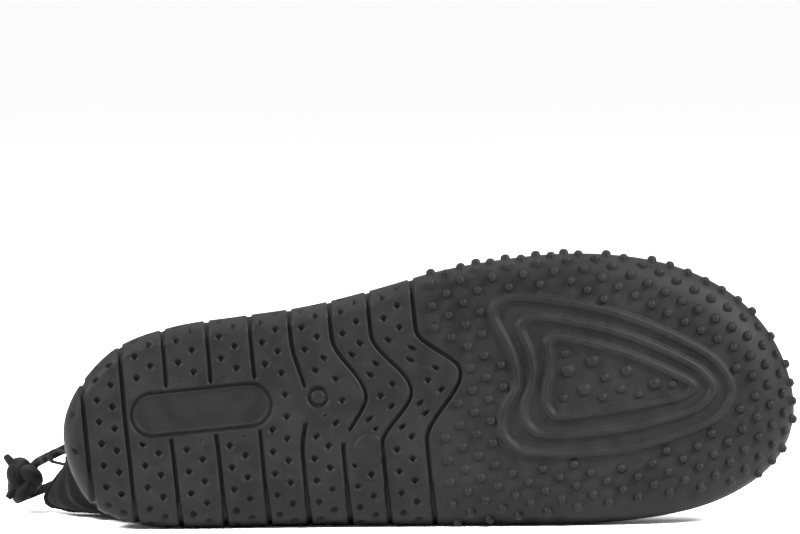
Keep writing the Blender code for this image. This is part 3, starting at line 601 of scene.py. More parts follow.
def vertex_normals(points, faces):
    """Normals of a mesh of triangles and quads."""
    quads = np.array([face if len(face) == 4 else face + face[-1:] for face in faces])
    across = points[quads[:, 2]] - points[quads[:, 0]]
    other = points[quads[:, 3]] - points[quads[:, 1]]
    normal = np.cross(across, other)
    total = np.zeros_like(points)
    for k in range(4):
        np.add.at(total, quads[:, k], normal)
    return unit(total)


# Relief of the tread


SWEEP_ALONG, SWEEP_RISE, SWEEP_PEAK = np.array([
    # along, rise, peak
    (0.0, 0.0, GROOVES[0][2]),
    *(row[:3] for row in GROOVES[4:]),
    (0.56, *GROOVES[-1][1:3]),
    (1.0, *GROOVES[-1][1:3]),
]).T


def soft_step(edge, at, softness=EDGE_SOFTNESS):
    return ease(edge - softness, edge + softness, at)


def chevron_lift(across, peak):
    lateral = ease(CHEVRON_LATERAL, peak, across)
    medial = 1 - ease(peak, CHEVRON_MEDIAL, across)
    return np.where(across < peak, lateral, medial)


def chevron_shift(u, v):
    """How far the ribs are swept to the toe, at places of the straight tread."""
    along = np.asarray(u) / LENGTH
    lift = chevron_lift(v / BALL_WIDTH, read(SWEEP_ALONG, SWEEP_PEAK, along))
    return read(SWEEP_ALONG, SWEEP_RISE, along) * LENGTH * lift * (1 - ease(*CHEVRON_FADE, along))


def groove_relief(x, v, up_side):
    """Depth of the grooves at plan places; up_side is how far up the medial side."""
    step = 1e-4
    depth = np.zeros_like(x)
    for along, rise, peak, whole_from, whole_to in GROOVES:
        place = along * LENGTH
        swept = place + chevron_shift(place, v)
        slope = (chevron_shift(place, v + step) - chevron_shift(place, v - step)) / (2 * step)
        apart = np.abs(x - swept) / np.hypot(1, slope)
        narrow = np.sqrt(chevron_lift(v / BALL_WIDTH, peak)) if rise > 0.03 else 0.0
        half = (GROOVE_WIDTH + (CHEVRON_WIDTH - GROOVE_WIDTH) * narrow) / 2
        cut = 1 - soft_step(half + GROOVE_FLARE * ease(0, 0.004, up_side), apart)
        if whole_from is not None:
            across = v / BALL_WIDTH
            whole = soft_step(whole_from, across, WHOLE_FADE)
            whole = whole * (1 - soft_step(whole_to, across, WHOLE_FADE))
            cut = cut * (1 - whole)
        depth = np.maximum(depth, GROOVE_DEPTH * cut)
    return depth


def pit(du, dv):
    """Depth of a small pit between round and diamond, at distances from its middle."""
    reach = 0.45 * np.hypot(du, dv) + 0.46 * (np.abs(du) + np.abs(dv))
    return PIT_DEPTH * (1 - ease(0.30, 0.95, reach / PIT_RADIUS))


def pit_relief(x, v):
    depth = np.zeros_like(x)
    for k, (heel_phase, toe_phase, shift) in enumerate(PIT_PHASES):
        middle = (GROOVES[k][0] + GROOVES[k + 1][0]) / 2 * LENGTH + shift
        swept = middle + chevron_shift(middle, v)
        for offset, phase in zip(PIT_COLUMNS, (heel_phase, toe_phase)):
            dv = v - phase - PIT_PITCH * np.round((v - phase) / PIT_PITCH)
            depth = np.maximum(depth, pit(x - swept - offset, dv))
    for x_place, v_place in HEEL_PITS:
        depth = np.maximum(depth, pit(x - x_place, v - v_place))
    return depth


def panel_distance(x, y):
    """Signed distance to the oblong panel's edge."""
    along = np.abs(x - PANEL_ALONG * LENGTH) - (PANEL_LENGTH - PANEL_WIDTH) / 2
    return np.hypot(np.maximum(along, 0.0), y - PANEL_ACROSS * BALL_WIDTH) - PANEL_WIDTH / 2


def closed_curve(points, count):
    """Points on the smooth closed curve through the given ones."""
    at = np.arange(count) * len(points) / count
    k = at.astype(int)
    u = (at - k)[:, None]
    before, start, end, after = (points[(k + j) % len(points)] for j in (-1, 0, 1, 2))
    return between(u, start, (end - before) / 2, end, (after - start) / 2)


def fin_line(inward_share, count=420):
    points = FIN[:, :2] + (FIN[:, 2:] - FIN[:, :2]) * inward_share
    return closed_curve(points * (LENGTH, BALL_WIDTH), count)


def distance_to(x, y, line):
    """Distance of many plan points to a line given by close points."""
    nearest = np.full(x.shape, 1.0)
    for start in range(0, len(x), 4000):
        part = slice(start, start + 4000)
        apart = np.hypot(x[part, None] - line[None, :, 0], y[part, None] - line[None, :, 1])
        nearest[part] = apart.min(1)
    return nearest


def fin_relief(x, y):
    """Height of the fin's three rounded ridges."""
    low, high = fin_line(0.0).min(0) - RIDGE_WIDTH, fin_line(0.0).max(0) + RIDGE_WIDTH
    near = (x > low[0]) & (x < high[0]) & (y > low[1]) & (y < high[1])
    height = np.zeros_like(x)
    for share in (0.0, 0.5, 1.0):
        apart = distance_to(x[near], y[near], fin_line(share))
        crown = np.sqrt(np.maximum(1 - (apart / (RIDGE_WIDTH * 0.53)) ** 2, 0.0))
        height[near] = np.maximum(height[near], RIDGE_HEIGHT * crown)
    return height


def tread_relief(x, y):
    """Depth into the rubber at plan places of the tread."""
    panel = panel_distance(x, y)
    gate = np.hypot(x - GATE_ALONG * LENGTH, y - GATE_ACROSS * BALL_WIDTH)
    disc = np.hypot(x - DISC_ALONG * LENGTH, y - DISC_ACROSS * BALL_WIDTH)
    clear = ease(*PANEL_CLEAR, panel) * ease(*GATE_CLEAR, gate) * ease(*DISC_CLEAR, disc)
    depth = np.maximum(groove_relief(x, y, np.zeros_like(x)), pit_relief(x, y) * clear)
    step = PANEL_DEPTH * (1 - soft_step(0.0, panel))
    step = step - (PANEL_DEPTH - PANEL_STEP) * np.exp(-((panel + PANEL_RIM) / 0.00042) ** 2)
    ring = GATE_DEPTH * soft_step(GATE_CORE, gate) * (1 - soft_step(GATE_RADIUS, gate))
    depth = np.maximum(depth, np.maximum(step, ring))
    depth = depth - DISC_HEIGHT * (1 - soft_step(DISC_RADIUS, disc))
    return depth - fin_relief(x, y)


def edge_turns():
    """Turns from heel to toe that cut the tread's edge into even lengths."""
    fine = np.linspace(0, np.pi, 4001)
    run = run_along(skin(fine, 0.0)[:, :2]) + run_along(skin(TAU - fine, 0.0)[:, :2])
    return np.interp(np.linspace(0, run[-1], EDGE_LINES + 1), run, fine)


def mould_line(off_edge, y):
    """Depth of the faint line that the mould leaves round the tread."""
    return MOULD_RISE * np.exp(-(off_edge / MOULD_LINE) ** 2) * ease(-0.01, 0.02, y)


def make_tread(finish):
    """The sole's face, in lines across that follow the chevrons of the ribs."""
    halves = edge_turns()
    lateral = skin(halves, 0.0)[:, None, :2]
    medial = skin(TAU - halves, 0.0)[:, None, :2]
    share = np.linspace(0, 1, TREAD_COLUMNS + 1)[None, :, None]
    straight = (lateral + (medial - lateral) * share).reshape(-1, 2)
    u, v = straight[:, 0], straight[:, 1]
    x = u + chevron_shift(u, v)
    depth = tread_relief(x, v)
    rows = straight.reshape(len(halves), -1, 2)
    edge = np.minimum(np.linalg.norm(rows - lateral, axis=-1), np.linalg.norm(rows - medial, axis=-1)).ravel()
    depth = depth + mould_line(edge, v)
    points = np.stack([x, v, spring(x) + depth], -1)
    index = np.arange(len(points)).reshape(len(halves), -1)
    index[0] = index[0, 0]
    index[-1] = index[-1, 0]
    # Painted shade: this depth darkens the rubber in grooves, pits and the gate's ring; the panel's floor
    # gets only a little and raised parts none.
    shade_depth = np.where(panel_distance(x, v) < -PANEL_RIM / 2, 0.0006, depth)
    shade_depth = np.where(depth < -0.0001, depth, shade_depth)
    return add_object("outsole_tread", points, grid_faces(index), finish, layers={"relief": shade_depth})


def make_side(finish):
    """The rounded side and the rand, with the ribs' grooves and pits running up it, and its inside."""
    turns = all_round(edge_turns())[:, None]
    shares = np.concatenate([np.linspace(0, BULGE_SHARE, 31), np.linspace(BULGE_SHARE, 1, 13)[1:]])[None, :]
    flat = skin(turns, shares)
    run = run_along(flat)
    medial = turns > np.pi
    x = flat[..., 0]
    v = flat[:, :1, 1] + np.where(medial, 1, -1) * run
    top = 1 - ease(GROOVE_TOP - 0.03, GROOVE_TOP + 0.03, shares)
    pits = pit_relief(x, v) * (1 - ease(0.66, 0.70, shares))
    depth = np.maximum(groove_relief(x, v, run * medial) * top, pits)
    depth = depth + mould_line(run, flat[:, :1, 1])
    outer = skin(turns, shares, -depth)
    rows = [outer[:, k] for k in range(outer.shape[1])]
    rows += [skin(turns[:, 0], share, -RAND_WALL) for share in (1.0, 0.8, BULGE_SHARE)]
    low = share_at_height(turns[:, 0], -RAND_WALL, SOLE_THICKNESS)
    rows.append(skin(turns[:, 0], low, -RAND_WALL))
    points = np.stack(rows, 1)
    index = numbered(points)
    faces = grid_faces(index, wrap_rows=True) + cap_faces(index[:, -1], True)
    # Painted shade: the outer rows carry their groove and pit depth, which darkens the rubber there; the
    # inside rows carry none.
    relief = np.zeros(index.shape)
    relief[:, :depth.shape[1]] = depth
    return add_object("outsole_side", points.reshape(-1, 3), faces, finish, layers={"relief": relief.ravel()})


# Studs and domes


DOME_PROFILE = np.array((
    # reach in radii, height in shares
    (1.16, -0.08), (1.00, 0.10), (0.95, 0.38), (0.82, 0.68), (0.55, 0.92), (0.24, 1.00),
))


def domes(bases, outs, diameters, heights, sides=12):
    """Points and faces of many blunt domes that stand along their own directions."""
    angle = np.arange(sides) * TAU / sides
    helper = np.where(np.abs(outs[:, :1]) > 0.8, (0.0, 1.0, 0.0), (1.0, 0.0, 0.0))
    first = unit(np.cross(outs, helper))
    second = np.cross(outs, first)
    spoke = first[:, None] * np.cos(angle)[None, :, None] + second[:, None] * np.sin(angle)[None, :, None]
    reach = DOME_PROFILE[None, :, None, None, 0] * diameters[:, None, None, None] / 2
    rise = DOME_PROFILE[None, :, None, None, 1] * heights[:, None, None, None]
    rings = bases[:, None, None] + spoke[:, None] * reach + outs[:, None, None] * rise
    rings = rings.reshape(len(bases), -1, 3)
    crown = (bases + outs * heights[:, None] * 1.02)[:, None]
    points = np.concatenate([rings, crown], 1)
    one = np.arange(len(DOME_PROFILE) * sides).reshape(-1, sides)
    pattern = grid_faces(one, wrap_columns=True, flip=True)
    tip = one.size
    pattern += [[int(one[-1, k]), int(one[-1, (k + 1) % sides]), tip] for k in range(sides)]
    faces = []
    for i in range(len(bases)):
        start = i * (tip + 1)
        faces += [[start + corner for corner in face] for face in pattern]
    return points.reshape(-1, 3), faces


def inside(places, line):
    """Which plan places lie inside a closed line."""
    x, y = places[:, :1], places[:, 1:]
    start, end = line, np.roll(line, 1, 0)
    crosses = (start[None, :, 1] > y) != (end[None, :, 1] > y)
    drop = end[:, 1] - start[:, 1]
    slope = (end[:, 0] - start[:, 0]) / np.where(drop == 0, 1e-12, drop)
    crossing = start[None, :, 0] + (y - start[None, :, 1]) * slope
    return (crosses & (x < crossing)).sum(1) % 2 == 1


def lattice():
    """Plan places of the forefoot's studs, in skewed rows with every other one moved half a pitch."""
    x_mid, slope, fanning = STUD_SKEW
    rows = int(BALL_WIDTH / STUD_PITCH_ACROSS) + 2
    columns = int(LENGTH / STUD_PITCH_ALONG) + 1
    row, column = np.meshgrid(np.arange(-4, 2 * rows), np.arange(-columns, columns), indexing="ij")
    y = STUD_ORIGIN[1] - row * STUD_PITCH_ACROSS / 2
    reach = (column + 0.5 * (row % 2)) * STUD_PITCH_ALONG
    y = y + (reach - x_mid) * (slope + fanning * y)
    places = np.stack([STUD_ORIGIN[0] + reach, y], -1).reshape(-1, 2)
    groove = GROOVES[-1][0] * LENGTH
    return places[places[:, 0] - groove - chevron_shift(groove, places[:, 1]) > STUD_DIAMETER]


def make_studs(finish):
    """Studs over the forefoot and on round its side, and the domes inside the fin."""
    places = lattice()
    turns = np.arange(1440) * TAU / 1440
    edge = skin(turns, 0.0)[:, :2]
    fin = fin_line(0.0)
    off_edge = distance_to(places[:, 0], places[:, 1], edge)
    off_fin = distance_to(places[:, 0], places[:, 1], fin)
    within = inside(places, edge)
    flat = places[within & ~inside(places, fin) & (off_fin > (RIDGE_WIDTH + STUD_DIAMETER) / 2)]
    down = (0.0, 0.0, -1.0)
    bases = np.column_stack([flat, spring(flat[:, 0])])
    fresh = np.maximum(ease(0.53, 0.66, flat[:, 0] / LENGTH), ease(0.15, 0.40, -flat[:, 1] / BALL_WIDTH))
    heights = STUD_HEIGHT * (STUD_WORN + (1 - STUD_WORN) * fresh)
    beyond = places[~within]
    nearest = np.hypot(beyond[:, None, 0] - edge[None, :, 0], beyond[:, None, 1] - edge[None, :, 1]).argmin(1)
    shares = np.linspace(0, 1, 201)
    run = run_along(skin(turns[nearest][:, None], shares[None]))
    share = np.array([np.interp(distance, line, shares) for distance, line in zip(off_edge[~within], run)])
    kept = share < STUD_SIDE_TOP
    side_turns, side_shares = turns[nearest][kept], share[kept]
    side_bases = skin(side_turns, side_shares)
    side_outs = unit(skin(side_turns, side_shares, STUD_HEIGHT) - side_bases)
    large = np.array(DOMES)
    dome_x = large[:, 0] * LENGTH
    dome_bases = np.column_stack([dome_x, large[:, 1] * BALL_WIDTH, spring(dome_x)])
    points, faces = domes(
        np.concatenate([bases, side_bases, dome_bases]),
        np.concatenate([np.tile(down, (len(flat), 1)), side_outs, np.tile(down, (len(large), 1))]),
        np.concatenate([np.full(len(flat) + len(side_bases), STUD_DIAMETER), large[:, 2]]),
        np.concatenate([heights, np.full(len(side_bases), STUD_HEIGHT), large[:, 2] * DOME_SHARE]),
    )
    # A negative relief value keeps the studs and domes free of the painted shade.
    return add_object("outsole_studs", points, faces, finish, layers={"relief": np.full(len(points), -0.001)})


# Upper, insole, binding


def upper_sides():
    """Points of the lateral and the medial side of the upper, by column and row."""
    throat = throat_turn()
    throat_along = (1 - math.cos(throat)) / 2
    shares = np.linspace(0, 1, UPPER_COLUMNS + 1)
    low_rows = 10
    sides = []
    for start, way in ((0.0, 1), (TAU, -1)):
        fine = throat * (1 - (1 - np.linspace(0, 1, 1201)) ** 2)
        turns = start + way * fine
        edge = last_point(turns, collar_rise(turns))
        run = run_along(edge)
        in_collar = np.minimum(shares / COLLAR_SHARE, 1.0)
        collar_turn = np.interp(in_collar * run[-1], run, fine)
        beyond = np.clip((shares - COLLAR_SHARE) / (1 - COLLAR_SHARE), 0.0, 1.0)
        front_turn = turn_of(np.minimum(throat_along + (1 - throat_along) * beyond, 1.0))
        top_half = np.where(shares < COLLAR_SHARE, collar_turn, front_turn)
        top_turn = start + way * top_half
        top_rise = np.where(shares < COLLAR_SHARE, collar_rise(top_turn), 1.0)
        foot_half = np.pi * shares
        foot = start + way * foot_half
        out = -(RAND_WALL + GAP)
        low = share_at_height(foot, out, SOLE_THICKNESS + GAP)
        up = low[:, None] + (BULGE_SHARE - low)[:, None] * np.linspace(0, 1, low_rows)[None, :]
        bottom = skin(foot[:, None], up, out)
        part = np.linspace(0, 1, UPPER_ROWS + 1)[None, :]
        half = foot_half[:, None] + (top_half - foot_half)[:, None] * part
        rise = top_rise[:, None] * part
        rise = np.where((part == 1.0) & (top_rise[:, None] == 1.0), 1.0, np.minimum(rise, 0.99999))
        body = slack(last_point(start + way * half, rise))
        sides.append(np.concatenate([bottom, body], 1))
    return sides


def fold(apart, depth):
    """Shift over a soft trough with a low ridge on either side."""
    return 0.5 * depth * np.exp(-((np.abs(apart) - 1.9) / 0.9) ** 2) - depth * np.exp(-apart ** 2)


def creases(points, normals):
    """Soft troughs and ridges of the worn fabric, as a shift along the normal."""
    x, y, z = points[:, 0], points[:, 1], points[:, 2]
    over_rand = ease(RAND_HEIGHT, RAND_HEIGHT + 0.012, z)
    shift = np.zeros_like(x)
    top = ease(0.020, 0.034, z)
    for x_mid, lean, width, depth in VAMP_CREASES:
        shift += fold((x - x_mid - lean * y) / width, depth * top)
    for z_mid, x_mid, reach, depth in HEEL_FOLDS:
        near = np.exp(-((x - x_mid) / reach) ** 2)
        shift += fold((z - z_mid - HEEL_FOLD_SLOPE * (x - x_mid)) / HEEL_FOLD_WIDTH, depth * near)
    return points + normals * (shift * over_rand)[:, None]


def make_upper(finish):
    """Hollow stretch upper: an outer and an inner face joined at the collar and under the insole."""
    lateral, medial = upper_sides()
    columns, rows = lateral.shape[:2]
    count = columns * rows
    points = np.concatenate([lateral.reshape(-1, 3), medial.reshape(-1, 3)])
    one = np.arange(count).reshape(columns, rows)
    other = one + count
    other[0], other[-1] = one[0], one[-1]
    throat = int(round(COLLAR_SHARE * (columns - 1)))
    other[throat:, -1] = one[throat:, -1]
    around = np.concatenate([one, other[-2:0:-1]])
    used, packed = np.unique(around, return_inverse=True)
    around = packed.reshape(around.shape)
    points = points[used]
    faces = grid_faces(around, wrap_rows=True)
    normals = vertex_normals(points, faces)
    points = creases(points, normals)
    normals = vertex_normals(points, faces)
    inner = points - normals * UPPER_WALL
    size = len(points)
    inner_faces = [[corner + size for corner in face[::-1]] for face in faces]
    loop = np.concatenate([around[:throat + 1, -1], around[len(around) - throat + 1:, -1]])
    hem = around[:, 0]
    edge_faces = []
    for ring, turned in ((loop, True), (hem, False)):
        for a, b in zip(ring, np.roll(ring, -1)):
            face = [int(a), int(b), int(b) + size, int(a) + size]
            edge_faces.append(face[::-1] if turned else face)
    place = np.concatenate([points, inner])
    uv_side = spread(run_along(lateral[:, rows // 2]), run_along(lateral[columns // 4]))
    uv = np.tile(np.tile(uv_side, (2, 1))[used], (2, 1))
    made = add_object("upper_shell", place, faces + inner_faces + edge_faces, finish, uv=uv)
    return made, (points[loop], normals[loop])


def collar_frames(edge):
    """Even frames along the wall's edge: middle, outward and upward directions, from the heel."""
    points, normals = edge
    along = unit(np.roll(points, -1, 0) - np.roll(points, 1, 0))
    out = unit(normals - along * (normals * along).sum(1, keepdims=True))
    for _ in range(12):
        out = unit(out + 0.5 * (np.roll(out, 1, 0) + np.roll(out, -1, 0)))
        out = unit(out - along * (out * along).sum(1, keepdims=True))
    upward = unit(np.cross(out, along))
    middle = points - out * UPPER_WALL / 2
    run = run_along(np.concatenate([middle, middle[:1]]))
    at = np.arange(BINDING_COLUMNS) * run[-1] / BINDING_COLUMNS

    def even(values):
        values = np.concatenate([values, values[:1]])
        return np.stack([np.interp(at, run, values[:, k]) for k in range(3)], -1)

    return even(middle), unit(even(out)), unit(even(upward)), at


BINDING_SECTION = np.array((
    # across in half thicknesses, up in heights
    (-0.45, 0.00), (0.45, 0.00), (0.80, 0.06), (0.98, 0.20), (1.04, 0.36), (1.06, 0.50), (1.03, 0.66),
    (0.92, 0.82), (0.72, 0.94), (0.40, 1.00), (0.00, 1.02), (-0.40, 1.00), (-0.72, 0.94), (-0.92, 0.82),
    (-1.03, 0.66), (-1.06, 0.50), (-1.04, 0.36), (-0.98, 0.20), (-0.80, 0.06),
))

BINDING_GATHERS = (
    # depth, pitch, start
    (0.00010, 0.0021, 0.0),
    (0.00016, 0.0157, 1.0),
    (0.00012, 0.0093, 0.0),
)


def make_binding(frames, finish):
    """Soft rolled band over the collar's edge, gathered by the cord inside it."""
    middle, out, upward, at = frames
    gather = sum(depth * np.cos(TAU * at / pitch + start) for depth, pitch, start in BINDING_GATHERS)
    across = BINDING_SECTION[None, :, :1] * (BINDING_THICKNESS / 2 + gather[:, None, None])
    up = BINDING_SEAT + BINDING_SECTION[None, :, 1:] * (BINDING_HEIGHT + gather[:, None, None])
    points = middle[:, None] + out[:, None] * across + upward[:, None] * up
    faces = grid_faces(numbered(points), wrap_rows=True, wrap_columns=True, flip=True)
    uv = spread(at, np.arange(points.shape[1]) * 0.0009)
    return add_object("collar_band", points.reshape(-1, 3), faces, finish, uv=uv)


def make_insole(finish):
    """Footbed with a rounded edge and a fabric top."""
    out = -(RAND_WALL + GAP + UPPER_WALL + 2 * GAP)
    turns = all_round(edge_turns()[::3])
    base = SOLE_THICKNESS + GAP
    top = base + INSOLE_THICKNESS
    rows = []
    for height, pull in ((base, 0.0), (top - INSOLE_ROUND, 0.0), (top, INSOLE_ROUND)):
        ring = skin(turns, share_at_height(turns, out, height), out)
        ring[:, :2] += inward(turns) * pull
        rows.append(ring)
    points = np.stack(rows, 1)
    index = numbered(points)
    faces = grid_faces(index, wrap_rows=True) + cap_faces(index[:, 0], False) + cap_faces(index[:, -1], True)
    points = points.reshape(-1, 3)
    return add_object("footbed", points, faces, finish, uv=points[:, :2])


# Pull loop, cord and knot


def make_loop(frames, finish):
    """Folded loop of woven tape behind the heel."""
    middle, out, upward = frames[0][0], frames[1][0], frames[2][0]
    side = unit(np.cross(out, upward))
    start = middle + out * (BINDING_THICKNESS / 2 + GAP) + upward * (BINDING_SEAT + BINDING_HEIGHT / 2)
    radius = (LOOP_SLOT + LOOP_TAPE) / 2
    bend = np.linspace(-np.pi / 2, np.pi / 2, 17)
    reach = LOOP_REACH - LOOP_SLOT / 2 - LOOP_TAPE
    leg = [LOOP_SEAT + (reach - LOOP_SEAT) * k / 6 for k in range(6)]
    line = [(place, -radius) for place in leg]
    line += [(reach + radius * math.cos(a), radius * math.sin(a)) for a in bend]
    line = np.array(line + [(place, radius) for place in leg[::-1]])
    tangent = unit(np.gradient(line, axis=0))
    normal = np.stack([tangent[:, 1], -tangent[:, 0]], -1)
    width, thick = LOOP_WIDTH / 2, LOOP_TAPE / 2
    steps = np.linspace(-1, 1, 13) * (width - TAPE_ROUND)
    section = [(step, thick) for step in steps] + [(width, 0.0)]
    section += [(step, -thick) for step in steps[::-1]] + [(-width, 0.0)]
    rings = []
    for across, lift in section:
        place = line + normal * lift
        rings.append(start + out * place[:, :1] + side * place[:, 1:] + upward * across)
    points = np.stack(rings, 1)
    index = numbered(points)
    faces = grid_faces(index, wrap_columns=True, flip=True)
    faces += [index[0].tolist(), index[-1, ::-1].tolist()]
    uv = spread(np.arange(len(line)) * 0.0008, [across for across, _ in section])
    return add_object("pull_loop_tape", points.reshape(-1, 3), faces, finish, uv=uv)


def smooth_route(route):
    """Even points on the smooth curve through a route."""
    route = np.array(route)
    run = run_along(route)
    at = np.linspace(0, run[-1], int(run[-1] / CORD_STEP) + 1)
    return np.stack([read(run, route[:, k], at) for k in range(3)], -1)


def braid(path, radius, sides=24, closed=False, taper=0.0):
    """Points, faces and texture places of a braided tube along a path."""
    if closed:
        tangent = unit(np.roll(path, -1, 0) - np.roll(path, 1, 0))
    else:
        tangent = unit(np.gradient(path, axis=0))
    normal = np.cross(tangent[0], (0.0, 0.0, 1.0) if abs(tangent[0][2]) < 0.9 else (1.0, 0.0, 0.0))
    normals = []
    for way in tangent:
        normal = normal - way * normal.dot(way)
        normal = normal / np.linalg.norm(normal)
        normals.append(normal)
    normals = np.array(normals)
    others = np.cross(tangent, normals)
    run = run_along(path)
    angle = np.arange(sides) * TAU / sides
    lay = run[:, None] * TAU / (radius * 5.2)
    crossing = np.maximum(np.cos(4 * angle[None] + lay), np.cos(4 * angle[None] - lay))
    size = radius * (1 + 0.085 * crossing - 0.03)
    if taper:
        size = size * (1 - taper * ease(run[-1] - 2 * radius, run[-1], run))[:, None]
    points = path[:, None] + size[..., None] * (
        normals[:, None] * np.cos(angle)[None, :, None] + others[:, None] * np.sin(angle)[None, :, None])
    index = numbered(points)
    faces = grid_faces(index, wrap_rows=closed, wrap_columns=True, flip=True)
    if not closed:
        faces += [index[0].tolist(), index[-1, ::-1].tolist()]
    return points.reshape(-1, 3), faces, spread(run, angle * radius)


def joined(parts):
    points, faces, uvs, start = [], [], [], 0
    for place, face, uv in parts:
        points.append(place)
        uvs.append(uv)
        faces += [[corner + start for corner in corners] for corners in face]
        start += len(place)
    return np.concatenate(points), faces, np.concatenate(uvs)


def make_strand(name, route, finish):
    """Braided strand that runs on into the knot, and its path."""
    hidden_end = np.array(route[-1]) * 0.45 + KNOT_CENTER * 0.55
    path = smooth_route((*route, hidden_end))
    points, faces, uv = braid(path, CORD_DIAMETER / 2)
    made = add_object(name, points, faces, finish, uv=uv, local=False)
    return made, path


def make_knot(finish):
    """Tight knot of the doubled cord, with two cut ends."""
    t = np.linspace(0, TAU, 220, endpoint=False)
    shape = np.stack([np.sin(t) + 2 * np.sin(2 * t), 1.35 * np.sin(3 * t), np.cos(t) - 2 * np.cos(2 * t)], -1)
    scale = (KNOT_RADII - KNOT_STRAND) / np.abs(shape).max(0)
    turn = 0.5
    swing = np.array(((math.cos(turn), 0, math.sin(turn)), (0, 1, 0), (-math.sin(turn), 0, math.cos(turn))))
    path = (shape @ swing.T) * scale + KNOT_CENTER
    parts = [braid(path, KNOT_STRAND, closed=True)]
    core = np.array([KNOT_CENTER + KNOT_RADII * (0, 0, s) * 0.62 for s in np.linspace(-1, 1, 24)])
    parts.append(braid(core, KNOT_CORE, taper=0.4))
    for route in KNOT_ENDS:
        parts.append(braid(smooth_route(KNOT_CENTER + route), CORD_DIAMETER / 2, taper=0.25))
    points, faces, uv = joined(parts)
    return add_object("cord_knot", points, faces, finish, uv=uv, local=False)


# Materials


class Shader:
    """A small helper that wires nodes into one Principled material."""

    def __init__(self, name):
        self.material = bpy.data.materials.new(name)
        self.material.use_nodes = True
        self.tree = self.material.node_tree
        self.surface = self.tree.nodes["Principled BSDF"]

    def node(self, kind, links=(), **settings):
        made = self.tree.nodes.new(kind)
        for title, value in settings.items():
            setattr(made, title, value)
        for socket, value in dict(links).items():
            self.put(made.inputs[socket], value)
        return made

    def put(self, socket, value):
        if isinstance(value, bpy.types.NodeSocket):
            self.tree.links.new(value, socket)
        else:
            socket.default_value = value

    def give(self, title, value):
        self.put(self.surface.inputs[title], value)

    def place(self):
        return self.node("ShaderNodeTexCoord").outputs["Object"]

    def map(self):
        return self.node("ShaderNodeUVMap", uv_map="map").outputs["UV"]

    def noise(self, place, scale, detail=3.0, roughness=0.55):
        links = {"Vector": place, "Scale": scale, "Detail": detail, "Roughness": roughness}
        return self.node("ShaderNodeTexNoise", links).outputs["Fac"]

    def math(self, operation, first, second=0.0):
        return self.node("ShaderNodeMath", {0: first, 1: second}, operation=operation).outputs[0]

    def ramp(self, value, low, high, to_low, to_high):
        links = {"Value": value, "From Min": low, "From Max": high, "To Min": to_low, "To Max": to_high}
        return self.node("ShaderNodeMapRange", links).outputs["Result"]

    def blend(self, factor, first, second):
        made = self.node("ShaderNodeMix", data_type="RGBA")
        self.put(made.inputs["Factor"], factor)
        self.put(made.inputs[6], (*first, 1.0) if isinstance(first, tuple) else first)
        self.put(made.inputs[7], (*second, 1.0) if isinstance(second, tuple) else second)
        return made.outputs[2]

    def bump(self, height, distance, strength=1.0, under=None):
        links = {"Height": height, "Distance": distance, "Strength": strength}
        if under is not None:
            links["Normal"] = under
        return self.node("ShaderNodeBump", links).outputs["Normal"]

    def waves(self, place, across, along):
        """Two cosine waves over the texture map, with their pitches in centimetres."""
        split = self.node("ShaderNodeSeparateXYZ", {"Vector": place})
        made = []
        for axis, pitch in (("X", across), ("Y", along)):
            turned = self.math("MULTIPLY", split.outputs[axis], TAU / pitch)
            made.append(self.math("COSINE", turned))
        return made


def rubber(name, base, light, roughness):
    """Matte moulded rubber with a mottled bloom, and painted shade that darkens the recesses."""
    s = Shader(name)
    place = s.place()
    mottle = s.noise(place, 160.0, 5.0, 0.62)
    cloud = s.noise(place, 22.0, 2.0)
    grain = s.noise(place, 1500.0, 2.0)
    relief = s.node("ShaderNodeAttribute", attribute_name="relief").outputs["Fac"]
    # Painted shade: where the relief depth passes about a third of a millimetre, the colour is darkened
    # towards three tenths of the base colour.
    recess_shade = s.ramp(relief, 0.0003, 0.0014, 0.0, 1.0)
    bloom = s.ramp(s.math("ADD", mottle, s.math("MULTIPLY", cloud, 0.6)), 0.62, 1.0, 0.0, 1.0)
    color = s.blend(bloom, base, light)
    color = s.blend(s.math("MULTIPLY", recess_shade, 0.8), color, tuple(c * 0.3 for c in base))
    s.give("Base Color", color)
    s.give("Roughness", s.ramp(mottle, 0.3, 0.7, roughness - 0.05, roughness + 0.08))
    s.give("Specular IOR Level", 0.08)
    fine = s.bump(grain, 0.00006, 0.5)
    s.give("Normal", s.bump(mottle, 0.0002, 0.7, fine))
    return s.material


def knit(name, base, light, wale, course, depth, sheen):
    """Fine knit: rows of small loops over the texture map."""
    s = Shader(name)
    wales, courses = s.waves(s.map(), wale, course)
    swell = s.math("ADD", s.math("MULTIPLY", courses, 0.4), 0.6)
    loops = s.math("MULTIPLY", s.math("ABSOLUTE", wales), swell)
    fuzz = s.noise(s.place(), 900.0, 3.0, 0.7)
    cloud = s.noise(s.place(), 30.0, 2.0)
    tone = s.math("ADD", s.math("MULTIPLY", loops, 0.6), s.math("MULTIPLY", cloud, 0.5))
    s.give("Base Color", s.blend(s.ramp(tone, 0.2, 0.95, 0.0, 1.0), base, light))
    s.give("Roughness", s.ramp(fuzz, 0.3, 0.7, 0.78, 0.95))
    s.give("Sheen Weight", sheen)
    s.give("Sheen Roughness", 0.5)
    s.give("Specular IOR Level", 0.05)
    rough = s.bump(fuzz, 0.00008, 0.6)
    s.give("Normal", s.bump(loops, depth, 0.8, rough))
    return s.material


def studio(name, color, roughness):
    """Matte paint with a faint cloud."""
    s = Shader(name)
    faint = s.noise(s.place(), 3.0, 2.0)
    s.give("Base Color", s.blend(faint, tuple(c * 0.985 for c in color), color))
    s.give("Roughness", roughness)
    return s.material


# The shoe


